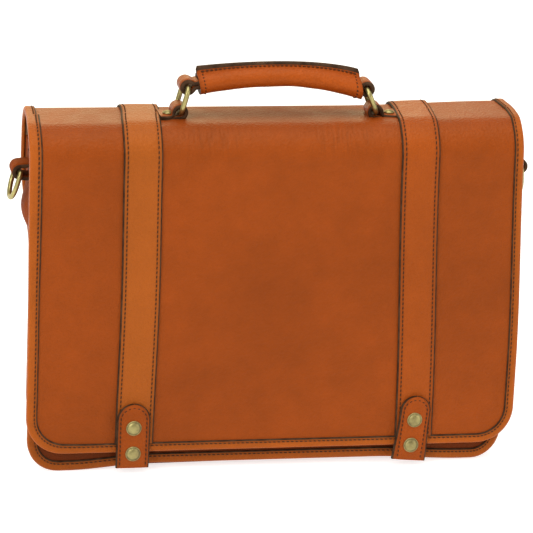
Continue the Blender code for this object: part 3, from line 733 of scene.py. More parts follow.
def fold_creases(x, s, n):
    """How finely the hide is wrinkled, and so how much painted shade darkens its wrinkles, mostly over its
    front fold beside the handle.
    """
    fold = FLAT_RUN + FRONT_TURN * 0.5
    near = math.exp(-(((s - fold) / 0.015) ** 2))
    gathered = sum(math.exp(-(((x - at) / wide) ** 2)) for at, wide in ((-0.056, 0.026), (0.052, 0.020)))
    return near * (0.18 + 0.82 * min(1.0, gathered))


class MakeHide(bpy.types.Operator):
    """The flap and the back, one hide that is sewn from two lengths under the handle"""

    bl_idname = "briefcase.hide"
    bl_label = "Flap and back"

    def execute(self, context):
        inset = 0.0018
        for name, end, ride_on, nodes in (
            ("flap_hide", FRONT_END, front_blend(), ("flap_front_panel", "flap_top_panel")),
            ("back_hide", BACK_END, rear_blend(), ("back_panel",)),
        ):
            long = end - math.copysign(inset, end)
            mesh = strip(sheet_section(HALF_WIDTH, PANEL, 190, inset), 0, long, 150)

            def bend(x, s, n):
                return on_flap(x * corner_half(end, s) / HALF_WIDTH, s, n)

            # The rim attribute here carries the painted shade under the handle.
            lay_out(mesh, rim=painted_shade_under_handle, lining=lambda x, s, n: n < -PANEL * 0.9, crease=fold_creases)
            shape(mesh, bend)
            slots = finishes("flap_leather", "edge_paint", "thread", "flesh_side")
            piece(name, mesh, slots, blend=ride_on, replaces=nodes, slot="panel_leather")
        return {"FINISHED"}


# ------------------------------------------------------------------ bindings
def binding_section(inner_lip):
    """A folded binding's section: w in from the panel's edge, n above its face."""
    wide = sizes().binding_width
    thick = sizes().binding_thick
    paint = sizes().edge_paint_width
    groove = wide * 0.70
    top = AIR + thick
    low = -PANEL - AIR
    return [
        (wide, AIR * 0.2),
        (wide - paint * 0.10, AIR + thick * 0.45),
        (wide - paint * 0.45, AIR + thick * 0.85),
        (wide - paint, top),
        (groove + 0.0012, top),
        (groove, top - 0.00022),
        (groove - 0.0012, top),
        (wide * 0.33, top + 0.00015),
        (wide * 0.14, top + 0.00005),
        (0.0005, top - 0.0005),
        (0.0, top - 0.0014),
        (0.0, low - thick + 0.0014),
        (0.0005, low - thick + 0.0005),
        (0.0014, low - thick),
        (inner_lip - 0.0008, low - thick),
        (inner_lip, low - thick * 0.4),
        (inner_lip, low - AIR * 0.2),
        (0.0011, low + 0.0001),
        (0.0011, -0.0001),
    ]


def edge_route(end, half, long_from, turn):
    """The line round a panel's edge on the flat pattern, from one upper end to the other."""
    sign = math.copysign(1, end - long_from)
    corner = arc((0, 0), turn, 90, 0, 12)
    right = [Vector((half - turn + x, end - sign * (turn - y), 0)) for x, y in corner]
    left = [Vector((-point.x, point.y, 0)) for point in reversed(right)]
    return Route([Vector((-half, long_from, 0)), *left, *right, Vector((half, long_from, 0))])


def flap_binding_spread(x, s):
    """The flap's binding is turned over further on the left, towards the fold."""
    left = ease(0.15, 0.19, -x)
    return 0.93 + left * (0.12 + 0.20 * (1 - ease(0.08, 0.20, s)))


def bound_edge(
    name,
    end,
    inner_lip,
    cover,
    blend=None,
    ride=None,
    replaces=(),
    half=None,
    start=0.0,
    spread=None,
    corner=CORNER,
    leather_name="binding_leather",
):
    """A binding sewn round one panel's sides and lower edge."""
    half = half or HALF_WIDTH
    route = edge_route(end, half, start, corner)
    wide = sizes().binding_width
    mesh = strip(binding_section(inner_lip), 0, route.long, 420)
    paint_from = wide - sizes().edge_paint_width * 1.05
    groove = wide * 0.70
    lay_out(
        mesh,
        rim=lambda w, t, n: max(
            0.75 * math.exp(-(((w - groove) / 0.0006) ** 2)) if n > 0 else 0,
            ease(wide - 0.0026, wide - 0.0010, w) * 0.8 if n > 0 else 0,
        ),
        worn=lambda w, t, n: 0.75 * math.exp(-((w / 0.0011) ** 2)) if n > -PANEL else 0,
        paint=lambda w, t, n: w > paint_from and n > 0,
    )
    line = [(groove, t, AIR + sizes().binding_thick) for t in (0.001, route.long - 0.001)]
    add(mesh, stitches([line]))
    sign = math.copysign(1, end - start)

    def bend(w, t, n):
        spot, heading = route.at(t)
        if spread and w > 0.0015:
            w *= spread(spot.x, spot.y)
        flat = spot + Vector((heading.y, -heading.x, 0)) * sign * w
        return cover(flat.x, flat.y, n)

    shape(mesh, bend)
    slots = finishes(leather_name, "edge_paint", "thread")
    return piece(
        name, mesh, slots, ride=ride, blend=blend, replaces=replaces, slot="strap_leather", sharp=60
    )


class MakeBindings(bpy.types.Operator):
    """The folded and sewn bindings of the flap and the back"""

    bl_idname = "briefcase.bindings"
    bl_label = "Flap and back bindings"

    def execute(self, context):
        bound_edge(
            "flap_edge_binding",
            FRONT_END,
            0.0095,
            on_flap,
            blend=front_blend(),
            replaces=("flap_binding", "left_top_binding", "right_top_binding"),
            spread=flap_binding_spread,
        )
        bound_edge(
            "back_edge_binding",
            BACK_END,
            0.0029,
            on_flap,
            blend=rear_blend(),
            replaces=("back_binding",),
        )
        return {"FINISHED"}


# ------------------------------------------------------------------ straps
def strap_section(half, thick, groove, paint):
    """A strap with bevelled painted edges and a shallow groove under each row of stitches."""
    side = [
        (half - paint * 1.05, thick),
        (half - paint * 0.45, thick * 0.88),
        (half - paint * 0.05, thick * 0.55),
        (half, thick * 0.25),
        (half - 0.0003, 0.0),
    ]
    face = [
        (groove + 0.0011, thick),
        (groove, thick - 0.00022),
        (groove - 0.0011, thick + 0.0001),
        (half * 0.45, thick + 0.0002),
        (0.0, thick + 0.00025),
    ]
    right = [*reversed(face), *side]
    left = [(-w, n) for w, n in reversed(right)]
    return [*left, *[point for point in right if point[0] != 0.0]]


# How far each strap strays from its straight line.
LEFT_BOW, LEFT_UPPER, LEFT_TOP, LEFT_CREST = 0.0012, 0.0006, 0.0038, 0.0026
RIGHT_START, RIGHT_DRIFT, RIGHT_TOP = -0.0026, 0.0064, 0.0044
STRAP_SPREAD = 1.04


def strap_line(side, s):
    """Where a strap's middle runs across the hide. Sewn by hand, neither is quite straight."""
    fold = FLAT_RUN + FRONT_TURN * 0.6
    low = ease(fold, FRONT_END, s)
    top = 1 - ease(-0.02, fold, s)
    if side == "left":
        middle = math.sin(min(1.0, max(0.0, low)) * math.pi)
        stray = LEFT_BOW * middle + LEFT_UPPER * (1 - low) + LEFT_TOP * top + LEFT_CREST * crest(s)
        return -STRAP_X + stray
    return STRAP_X + RIGHT_START + RIGHT_DRIFT * low + RIGHT_TOP * top


class MakeStraps(bpy.types.Operator):
    """The two decorative straps over the back, the top and the front of the hide"""

    bl_idname = "briefcase.straps"
    bl_label = "Straps"

    def execute(self, context):
        paint = sizes().edge_paint_width
        groove = STRAP_HALF - sizes().strap_stitch_inset
        section = strap_section(STRAP_HALF, STRAP_THICK, groove, paint)
        wide = sizes().binding_width
        for side in SIDES:
            for place, end, ride_on, nodes in (
                ("front", FRONT_END - wide + 0.0008, front_blend(), ("front_strap", "top_strap")),
                ("back", BACK_END + wide - 0.0008, rear_blend(), ("back_strap",)),
            ):
                mesh = strip(section, 0, end, 150)
                lay_out(
                    mesh,
                    rim=lambda w, s, n: max(
                        0.7 * math.exp(-(((abs(w) - groove) / 0.0006) ** 2)),
                        0.8 * ease(STRAP_HALF - 0.0028, STRAP_HALF - 0.0010, abs(w)),
                    ),
                    paint=lambda w, s, n: abs(w) > STRAP_HALF - paint * 1.02,
                )
                rows = [
                    [(sign * groove, s, STRAP_THICK) for s in (end * 0.004, end * 0.997)]
                    for sign in SIDES.values()
                ]
                add(mesh, stitches(rows))

                def bend(w, s, n):
                    return over_hide(strap_line(side, s) + w * STRAP_SPREAD, s, n + AIR)

                shape(mesh, bend)
                slots = finishes(f"{side}_strap_leather", "edge_paint", "thread")
                replaced = [f"{side}_{node}" for node in nodes]
                piece(
                    f"{side}_strap_{place}",
                    mesh,
                    slots,
                    blend=ride_on,
                    replaces=replaced,
                    slot="strap_leather",
                    sharp=60,
                )
        return {"FINISHED"}


# ------------------------------------------------------------------ tabs and studs
def tab_height(z):
    """The flap's pattern distance at a height above the floor."""
    return FLAT_RUN + FRONT_TURN + TOP_Z - FRONT_FOLD_RADIUS - z


def stud_cap(radius, height):
    """A domed cap with a rolled rim, standing on the XY plane."""
    outline = [
        (radius * 0.98, 0.0),
        (radius, height * 0.16),
        (radius * 0.985, height * 0.34),
        (radius * 0.93, height * 0.44),
        (radius * 0.87, height * 0.42),
        (radius * 0.83, height * 0.34),
        (radius * 0.78, height * 0.42),
        (radius * 0.66, height * 0.66),
        (radius * 0.48, height * 0.86),
        (radius * 0.25, height * 0.97),
        (0.0, height),
    ]
    mesh = bmesh.new()
    verts = [mesh.verts.new((0, 0, 0))] + [mesh.verts.new((r, 0, h)) for r, h in outline]
    edges = [mesh.edges.new(pair) for pair in zip(verts, verts[1:])]
    bmesh.ops.spin(
        mesh,
        geom=[*verts, *edges],
        cent=(0, 0, 0),
        axis=(0, 0, 1),
        angle=math.tau,
        steps=40,
        use_merge=True,
    )
    bmesh.ops.remove_doubles(mesh, verts=mesh.verts, dist=1e-6)
    bmesh.ops.recalc_face_normals(mesh, faces=mesh.faces)
    lay_out(
        mesh,
        rim=lambda x, y, z: 0.46
        + 0.54 * math.exp(-(((math.hypot(x, y) - radius * 0.83) / (radius * 0.05)) ** 2)),
    )
    return mesh


def stud(name, radius, height, centre, axis, ride, node):
    mesh = stud_cap(radius, height)
    turn = Vector((0, 0, 1)).rotation_difference(Vector(axis)).to_matrix().to_4x4()
    bmesh.ops.transform(mesh, matrix=Matrix.Translation(centre) @ turn, verts=mesh.verts)
    return piece(
        name, mesh, finishes("brass"), ride=ride, replaces=(node,), slot="antique_brass", sharp=70
    )


# Each tab's lean in degrees, its shift along the case, its width and how far its lower end widens.
TABS = {"left": (0.0, -0.0012, 1.03, 0.0), "right": (5.0, 0.0032, 0.96, 0.13)}
LOWER_STUD_DROP = 0.0021


class MakeTabs(bpy.types.Operator):
    """The closing tabs, each with its lower end falling back to the case, and two studs"""

    bl_idname = "briefcase.tabs"
    bl_label = "Tabs and studs"

    def execute(self, context):
        thick = 0.0030
        paint = sizes().edge_paint_width
        for side, (tilt, shift, wide, press) in TABS.items():
            half = sizes().tab_width / 2 * wide
            groove = half - 0.0030
            low, high = frame_box(f"{side}_tab")
            lower, upper = low.z - 0.0012, high.z + 0.0006
            section = strap_section(half, thick, groove, paint)
            long = upper - lower
            mesh = strip(section, 0, long, 60)
            straight = long - half

            def rounded(w, t, n):
                """Draws the upper end in to a half circle."""
                over = max(0.0, t - straight)
                if over > 0:
                    reach = half * math.sin(min(1.0, over / half) * math.pi / 2)
                    narrow = math.cos(min(1.0, over / half) * math.pi / 2)
                    return Vector((w * max(0.02, narrow), straight + reach, n))
                # The right tab's folded lower end is pressed a little wider.
                wider = press * (1 - ease(0.0, straight * 0.8, t))
                return Vector((w * (1 + wider), t, n))

            lay_out(
                mesh,
                rim=lambda w, t, n: max(
                    0.7 * math.exp(-(((abs(w) - groove) / 0.0006) ** 2)),
                    0.9 * ease(half - 0.0030, half - 0.0010, abs(w)),
                ),
                paint=lambda w, t, n: abs(w) > half - paint * 1.02,
            )
            shape(mesh, rounded)
            turn = half - 0.0030
            head = [
                (turn * math.cos(a), straight + turn * math.sin(a), thick)
                for a in [math.pi * i / 16 for i in range(17)]
            ]
            row = [(turn, 0.002, thick), *head, (-turn, 0.002, thick)]
            add(mesh, stitches([row]))
            upper_stud = frame_box(f"{side}_upper_stud")
            pivot = (upper_stud[0] + upper_stud[1]) / 2
            rest_y = high.y
            lean_by = Matrix.Rotation(math.radians(tilt), 3, "Y")
            middle = math.copysign(STRAP_X, pivot.x) + shift

            def bend(w, t, n):
                at = Vector((w, 0, lower + t - pivot.z))
                at = lean_by @ at
                # The tab lies on the strap, and its lower end falls back to the case.
                back = 0.0012 * ease(0.012, -0.002, pivot.z + at.z) if pivot.z + at.z < 0.012 else 0
                s = tab_height(pivot.z + at.z)
                stand = swell(middle + at.x, min(s, FRONT_END))
                return Vector((middle + at.x, rest_y - n - stand + back, pivot.z + at.z))

            shape(mesh, bend)
            slots = finishes("tab_leather", "edge_paint", "thread")
            piece(
                f"{side}_closing_tab",
                mesh,
                slots,
                ride="flap_front",
                replaces=(f"{side}_tab",),
                slot="strap_leather",
                sharp=60,
            )
            for level in ("upper", "lower"):
                low_stud, high_stud = frame_box(f"{side}_{level}_stud")
                place = (low_stud + high_stud) / 2
                t = place.z - lower - (LOWER_STUD_DROP if level == "lower" else 0.0)
                at = bend(0.0, t, thick)
                radius = (high_stud.x - low_stud.x) / 2
                stud(
                    f"{side}_{level}_stud_cap",
                    radius,
                    high_stud.y - low_stud.y,
                    at,
                    (0, -1, 0),
                    "flap_front",
                    f"{side}_{level}_stud",
                )
        return {"FINISHED"}


# ------------------------------------------------------------------ front panel and gusset
# The front panel's lower corners settle, and its right side sits further in.
LEFT_SETTLE, RIGHT_SETTLE, RIGHT_TUCK, LEFT_SPREAD = 0.0046, 0.0034, 0.0052, 0.0010


def on_case_front(x, z, n):
    """A point on the front panel, whose soft lower corners settle a little."""
    low = 1 - ease(0.0, 0.075, z)
    left = low * ease(0.095, 0.165, -x)
    right = low * ease(0.085, 0.160, x)
    side = (1 - ease(0.05, 0.12, z)) * ease(0.16, 0.19, x)
    spread = LEFT_SPREAD * ease(0.14, 0.19, -x) * (1 - ease(0.17, 0.20, z))
    x = x - spread - RIGHT_TUCK * max(right, side) * ease(0.14, 0.19, x)
    return Vector((x, FRONT_FACE_Y - n, z - LEFT_SETTLE * left - RIGHT_SETTLE * right))


class MakeFront(bpy.types.Operator):
    """The front panel under the flap, with its binding"""

    bl_idname = "briefcase.front"
    bl_label = "Front panel"

    def execute(self, context):
        half, top, inset = CASE_HALF_WIDTH, FRONT_HIGH.z, 0.0018
        mesh = strip(sheet_section(half, PANEL, 120, inset), top, inset - top, 80)

        def bend(x, z, n):
            short = CASE_CORNER - min(CASE_CORNER, z)
            edge = half - CASE_CORNER + math.sqrt(max(0.0, CASE_CORNER**2 - short**2))
            return on_case_front(x * edge / half, z, n)

        lay_out(mesh, lining=lambda x, z, n: n < -PANEL * 0.9)
        shape(mesh, bend)
        # The front panel is painted dark, as shade under the flap.
        slots = finishes("recess_leather", "edge_paint", "thread", "lining")
        piece("front_leather", mesh, slots, ride="case", replaces=("front_panel",), slot="panel_leather")

        bound_edge(
            "front_edge_binding",
            0.0,
            0.0029,
            on_case_front,
            ride="case",
            replaces=("front_binding",),
            half=half,
            start=top,
            corner=CASE_CORNER,
            # The case's binding is a darker copy of the binding leather, as painted shade.
            leather_name="case_binding_leather",
        )
        return {"FINISHED"}


class MakeGusset(bpy.types.Operator):
    """The soft gusset that makes both sides and the bottom"""

    bl_idname = "briefcase.gusset"
    bl_label = "Gusset"

    def execute(self, context):
        low, high = GUSSET_LOW, GUSSET_HIGH
        thick = 0.0018
        belly_height, fold_in = 0.202, 0.006
        deep = high.y - low.y
        half_deep = deep / 2
        middle_y = (low.y + high.y) / 2
        turn = CORNER - (CASE_HALF_WIDTH - high.x)
        route = edge_route(low.z, high.x, high.z, turn)
        columns = 28
        across = [half_deep * (2 * i / columns - 1) for i in range(columns + 1)]
        section = [(w, 0.0) for w in across] + [(w, -thick) for w in reversed(across)]
        mesh = strip(section, 0, route.long, 300)

        def bend(w, t, n):
            spot, heading = route.at(t)
            out = Vector((heading.y, -heading.x, 0))
            belly = math.cos(w / half_deep * math.pi / 2)
            height = spot.y
            full = sizes().gusset_swell * math.exp(-(((height - belly_height) / 0.017) ** 2))
            full -= fold_in * (1 - ease(0.14, 0.185, height)) * ease(0.025, 0.07, height)
            ripple = noise.noise(Vector((w * 30, spot.y * 22, spot.x * 3))) * 0.0012
            side = ease(0.02, 0.06, height)
            flat = spot + out * (n + belly * (full + ripple * side))
            back = ease(-half_deep, half_deep, w)
            return Vector((flat.x - back * draw_in(flat.x, height), middle_y + w, flat.y))

        lay_out(
            mesh,
            rim=lambda w, t, n: 0.7 * ease(half_deep - 0.004, half_deep, abs(w)),
            lining=lambda w, t, n: n < -thick * 0.9,
        )
        shape(mesh, bend)
        slots = finishes("gusset_leather", "edge_paint", "thread", "lining")
        piece("gusset_leather", mesh, slots, ride="case", replaces=("gusset",), slot="panel_leather")
        return {"FINISHED"}


# ------------------------------------------------------------------ handle, rings and chapes
def strap_loop(name, path, half, thick, place, flare=None, skive=None, **finish):
    """A strip of leather whose middle follows a path in X and Z, painted on its cut edges.

    flare widens it and skive thins it, by the share of its length.
    """
    route = Route([(x, z, 0) for x, z in path])
    bevel = min(0.0006, thick * 0.3)
    section = [
        (-half, -thick / 2 + bevel),
        (-half, thick / 2 - bevel),
        (-half + bevel, thick / 2),
        (-half * 0.4, thick / 2 + 0.0001),
        (half * 0.4, thick / 2 + 0.0001),
        (half - bevel, thick / 2),
        (half, thick / 2 - bevel),
        (half, -thick / 2 + bevel),
        (half - bevel, -thick / 2),
        (-half + bevel, -thick / 2),
    ]
    steps = max(24, int(route.long / 0.0008))
    mesh = strip(section, 0, route.long, steps)
    lay_out(
        mesh,
        rim=lambda w, t, n: 0.8 * ease(half - 0.0026, half - 0.0008, abs(w)),
        paint=lambda w, t, n: abs(w) > half - bevel * 1.1 or t < 1e-5 or t > route.long - 1e-5,
    )

    def bend(w, t, n):
        spot, heading = route.at(t)
        out = Vector((heading.y, -heading.x, 0))
        if skive:
            n *= skive(t / route.long)
        flat = spot - out * n
        wide = flare(t / route.long) if flare else 1.0
        return place(flat.x, w * wide, flat.y)

    shape(mesh, bend)
    colours_of = finish.pop("leather", "right_strap_leather")
    slots = finishes(colours_of, "edge_paint", "thread")
    return piece(name, mesh, slots, slot="strap_leather", sharp=60, **finish)


def tangent_angle(point, radius, sign):
    reach = math.hypot(*point)
    return math.degrees(math.atan2(point[1], point[0]) + sign * math.acos(radius / reach))


def loop_path(radius, low, high, join_at, end):
    """The middle line of a strip folded round a bar at the origin."""
    start = tangent_angle((join_at, low), radius, -1)
    stop = tangent_angle((join_at, high), radius, 1) - 360
    turn = arc((0, 0), radius, start, stop, 24)
    return [(end, low), (join_at, low), *turn, (join_at, high), (end, high)]


WIRE = 0.0019
RING_PLUMP = 1.09  # the handle's rings are a little thicker than their stock size
LOOP_LEATHER = 0.0032
LOOP_RADIUS = WIRE + 0.0013 + LOOP_LEATHER / 2
HANDLE_SHIFT = Vector((0, -0.0045, -0.0009))
LEFT_CHAPE_BAR = Vector(JOINTS["left_ring_sway"]["pos_m"])
LEFT_HANDLE_BAR = Vector(JOINTS["handle_sway"]["pos_m"])


def bar(place, side, slide=0.0):
    """The left bar's place, or its mirror image on the right, slid across by a little."""
    return Vector((SIDES[side] * abs(place.x) + slide, place.y, place.z)) + HANDLE_SHIFT


# The handle hangs a little lower on its right: how far each side's bars are slid across and raised.
CHAPE_MOVES = {"left": (0.0018, 0.0012), "right": (0.0002, 0.0002)}
GRIP_MOVES = {"left": (-0.0010, 0.0008), "right": (0.0004, -0.0018)}


def chape_bar(side):
    slide, rise = CHAPE_MOVES[side]
    return bar(LEFT_CHAPE_BAR, side, slide) + Vector((0, 0, rise))


def grip_bar(side):
    slide, rise = GRIP_MOVES[side]
    return bar(LEFT_HANDLE_BAR, side, slide) + Vector((0, 0, rise))


def wire_loop(name, path, radius, place, **finish):
    """A closed ring of round wire whose middle follows a path in its own plane."""
    route = Route([(y, z, 0) for y, z in path], closed=True)
    turns = [math.tau * i / 16 for i in range(16)]
    section = [(radius * math.cos(a), radius * math.sin(a)) for a in turns]
    mesh = strip(section, 0, route.long, 160, capped=False)
    lay_out(mesh)

    def bend(w, t, n):
        spot, heading = route.at(t)
        out = Vector((heading.y, -heading.x, 0))
        flat = spot + out * w
        return place @ Vector((n, flat.x, flat.y))

    shape(mesh, bend)
    bmesh.ops.remove_doubles(mesh, verts=mesh.verts, dist=2e-6)
    bmesh.ops.recalc_face_normals(mesh, faces=mesh.faces)
    rims = mesh.verts.layers.float["rim"]
    for vert in mesh.verts:
        vert[rims] = 0.12
    return piece(name, mesh, finishes("brass"), slot="antique_brass", **finish)


class MakeHandleMounts(bpy.types.Operator):
    """The chapes, their rivets and the two brass rings that carry the handle"""

    bl_idname = "briefcase.handle_mounts"
    bl_label = "Handle chapes and rings"

    def execute(self, context):
        low, high = -0.0049, -0.0029
        chape_half = 0.0088
        rivet_in, rivet_slide, rivet_forward, rivet_rise = 0.0031, 0.0028, 0.0014, 0.0012
        for side, sign in SIDES.items():
            place = chape_bar(side)
            strap_edge = abs(strap_line(side, 0)) - STRAP_HALF + 0.0012
            end = strap_edge - abs(place.x)
            path = loop_path(LOOP_RADIUS, low, high, 1.30 * LOOP_RADIUS, end)

            def put(u, w, v):
                return Vector((place.x + sign * u, place.y + w, place.z + v))

            def flare(share):
                far = abs(share - 0.5) * 2
                return 1.0 + 0.34 * ease(0.55, 0.85, far)

            strap_loop(
                f"{side}_handle_chape_leather",
                path,
                chape_half,
                LOOP_LEATHER,
                put,
                flare=flare,
                skive=lambda share: 1.0 - 0.42 * ease(0.42, 0.66, abs(share - 0.5) * 2),
                ride="flap_top",
                replaces=(f"{side}_handle_chape",),
            )
            rivet_low, rivet_high = frame_box(f"{side}_chape_rivet")
            middle = (rivet_low + rivet_high) / 2
            at = Vector((middle.x - sign * rivet_in + rivet_slide, place.y - rivet_forward, place.z + high))
            stud(
                f"{side}_chape_stud",
                (rivet_high.x - rivet_low.x) / 2,
                rivet_high.z - rivet_low.z + 0.0003,
                at + Vector((0, 0, rivet_rise)),
                (0, 0, 1),
                "flap_top",
                f"{side}_chape_rivet",
            )
            self.ring(side, place)
        return {"FINISHED"}

    def ring(self, side, place):
        upper = grip_bar(side)
        reach = upper - place
        pitch = reach.length
        lean_by = math.atan2(reach.x, reach.z)
        low, high = frame_box(f"{side}_ring")
        half = (high.y - low.y) / 2 - WIRE
        turn = 0.0062
        corners = [
            (half - turn, turn, 270),
            (half - turn, pitch - turn, 0),
            (-half + turn, pitch - turn, 90),
            (-half + turn, turn, 180),
        ]
        path = [p for y, z, a in corners for p in arc((y, z), turn, a, a + 90, 10)]
        matrix = Matrix.Translation(place) @ Matrix.Rotation(lean_by, 4, "Y")
        wire_loop(
            f"{side}_ring_wire",
            path,
            WIRE * RING_PLUMP,
            matrix,
            ride=f"{side}_handle_ring",
            replaces=(f"{side}_ring",),
        )


GRIP_WIDE, GRIP_HIGH, FIN_HALF, FIN_TOP = 0.0108, 0.0083, 0.0017, 0.0118


def grip_section():
    """The grip's section: an oval whose two cover edges are sewn together into a fin on top."""
    meet = math.degrees(math.acos(FIN_HALF / GRIP_WIDE * 1.5))
    oval = [(y * GRIP_WIDE, z * GRIP_HIGH) for y, z in arc((0, 0), 1, 180 - meet, 360 + meet, 40)]
    right = [
        (FIN_HALF * 1.15, GRIP_HIGH * 1.02),
        (FIN_HALF, GRIP_HIGH + 0.0008),
        (FIN_HALF, FIN_TOP - 0.0022),
        (FIN_HALF, FIN_TOP - 0.0006),
        (FIN_HALF * 0.7, FIN_TOP),
        (0, FIN_TOP + 0.0001),
    ]
    left = [(-y, z) for y, z in reversed(right[:-1])]
    return [*oval, *right, *left]


class MakeHandle(bpy.types.Operator):
    """The padded grip and the leather loops that hold it on the rings"""

    bl_idname = "briefcase.handle"
    bl_label = "Handle"

    def execute(self, context):
        high = frame_box("handle_grip")[1]
        half_bar = abs(LEFT_HANDLE_BAR.x)
        half = high.x - 0.0014
        middle = LEFT_HANDLE_BAR + HANDLE_SHIFT + Vector((0, 0, 0.0008))
        rise = high.z - 0.0112 - middle.z
        radius = (half_bar**2 + rise**2) / (2 * rise)
        mesh = strip(grip_section(), -half, 2 * half, 110)
        paint_from = FIN_TOP - 0.0021
        lay_out(
            mesh,
            rim=lambda w, t, n: max(
                0.8 * ease(half - 0.0035, half - 0.0008, abs(t)),
                0.45 * ease(GRIP_HIGH - 0.0012, GRIP_HIGH + 0.0006, n),
            ),
            paint=lambda w, t, n: n > paint_from or abs(t) > half - 1e-4,
        )
        long_way = (0.003 - half, half - 0.003)
        rows = [[(w, t, GRIP_HIGH + 0.0006) for t in long_way] for w in (-0.0024, 0.0024)]
        add(mesh, stitches(rows, pitch=0.0034, thick=0.0011))
        for end in (-1, 1):
            points = []
            for y, z in arc((0, 0), 1, 112, 428, 34):
                points.append((y * GRIP_WIDE * 1.02, end * (half - 0.0042), z * GRIP_HIGH * 1.02))
            add(mesh, self.end_stitches(points))

        left_growth, right_growth, fin_rise, right_slump, cut_slant = 0.08, 0.28, 0.0024, 0.0032, 0.27

        def bend(w, t, n):
            share = abs(t) / half
            # The fin stands a little higher towards the ends, where the cover is pulled together.
            under = 1 - ease(-GRIP_HIGH * 0.3, GRIP_HIGH * 0.6, n)
            body = 1 + (left_growth if t < 0 else right_growth) * share**2 * under
            if n > GRIP_HIGH * 0.85:
                n += fin_rise * share**2 * ease(GRIP_HIGH * 0.85, FIN_TOP, n) * (1 - ease(0.985, 1, share))
            slump = right_slump * share**2.5 if t > 0 else 0
            # The right end's cut slants, with its lower side pulled out over the loop.
            slant = -cut_slant * (n - 0.0045) * share**6 if t > 0 else 0
            angle = t / radius
            lump = noise.noise(Vector((t * 60, w * 40, n * 30))) * 0.00035
            out = radius + n * body + (lump if n < 0.006 else 0) - slump
            x = math.sin(angle) * out
            z = middle.z + rise - radius + math.cos(angle) * out
            return Vector((x + 0.0018 + slant, middle.y + w * body, z))

        shape(mesh, bend)
        # The grip's leather is a lighter copy of the flap's, as painted light.
        slots = finishes("grip_leather", "edge_paint", "thread")
        grip = piece(
            "grip_cover",
            mesh,
            slots,
            ride="handle",
            replaces=("handle_grip",),
            slot="panel_leather",
            sharp=60,
        )
        slope = math.asin(half_bar / radius)
        end = half_bar - half + 0.004
        layer = LOOP_LEATHER / 2 + 0.0001
        for side, sign in SIDES.items():
            place = grip_bar(side)
            turn = Matrix.Rotation(sign * slope, 4, "Y")
            path = loop_path(LOOP_RADIUS, -layer, layer, end - 0.0045, end)

            def put(u, w, v):
                return place + turn @ Vector((-sign * u, w, v))

            strap_loop(
                f"{side}_grip_loop",
                path,
                0.0092,
                LOOP_LEATHER,
                put,
                ride="handle",
                replaces=(f"{side}_handle_loop",),
            )
        return {"FINISHED"}

    def end_stitches(self, points):
        """A row of stitches round the lower side of the grip's end."""
        mesh = bmesh.new()
        for here, there in list(zip(points, points[1:]))[::2]:
            here, there = Vector(here), Vector(there)
            along = (there - here).normalized()
            turn = Vector((0, 1, 0)).rotation_difference(along).to_matrix().to_4x4()
            place = (
                Matrix.Translation((here + there) / 2)
                @ turn
                @ Matrix.Diagonal((0.0011, (there - here).length * 1.15, 0.0011, 1))
            )
            bmesh.ops.create_uvsphere(mesh, u_segments=6, v_segments=5, radius=0.5, matrix=place)
        for face in mesh.faces:
            face.material_index = THREAD_SLOT
        return mesh


# How far each side ring stands out from hanging straight down, in degrees. The right one lies close
# to the gusset, and the left one stands out on its chape.
RING_LEAN = {"left": 16, "right": 3}


class MakeSideRings(bpy.types.Operator):
    """The D-ring on each side, in its chape on the gusset"""

    bl_idname = "briefcase.side_rings"
    bl_label = "Side rings"

    def execute(self, context):
        wire = 0.0020
        radius = wire + 0.0010 + LOOP_LEATHER / 2
        for side, sign in SIDES.items():
            place = Vector(JOINTS[f"{side}_side_ring_swing"]["pos_m"])
            low = -(abs(place.x) - GUSSET_HIGH.x - LOOP_LEATHER / 2)
            root, end = 0.0056, 0.0135
            above = tangent_angle((-root, low), radius, -1) + 360
            below = tangent_angle((root, low), radius, 1)
            hump = arc((0, 0), radius, above, below, 18)
            path = [(-end, low - 0.0010), (-root, low), *hump, (root, low), (end + 0.003, low - 0.0004)]

            def put(u, w, v):
                return Vector((place.x + sign * v, place.y + w, place.z - u))

            strap_loop(
                f"{side}_side_chape_leather",
                path,
                0.0108,
                LOOP_LEATHER,
                put,
                leather="gusset_leather",
                ride="case",
                replaces=(f"{side}_side_chape",),
            )
            box_low, box_high = frame_box(f"{side}_d_ring")
            half = (box_high.y - box_low.y) / 2 - wire
            reach = 0.0235
            bow = [(y, z - (reach - half)) for y, z in arc((0, 0), half, 180, 360, 40)]
            turn = 0.0034
            path = [
                *bow,
                *arc((half - turn, -turn), turn, 0, 90, 8),
                *arc((-half + turn, -turn), turn, 90, 180, 8),
            ]
            lean_by = -sign * math.radians(RING_LEAN[side])
            matrix = Matrix.Translation(place) @ Matrix.Rotation(lean_by, 4, "Y")
            wire_loop(
                f"{side}_d_ring_wire",
                path,
                wire,
                matrix,
                ride=f"{side}_side_ring",
                replaces=(f"{side}_d_ring",),
            )
        return {"FINISHED"}


# ------------------------------------------------------------------ inside
def lay_upright(mesh):
    """Marks the pattern of a piece that stands across the case."""
    uv = mesh.loops.layers.uv.new("pattern")
    for face in mesh.faces:
        for loop in face.loops:
            loop[uv].uv = loop.vert.co.xz


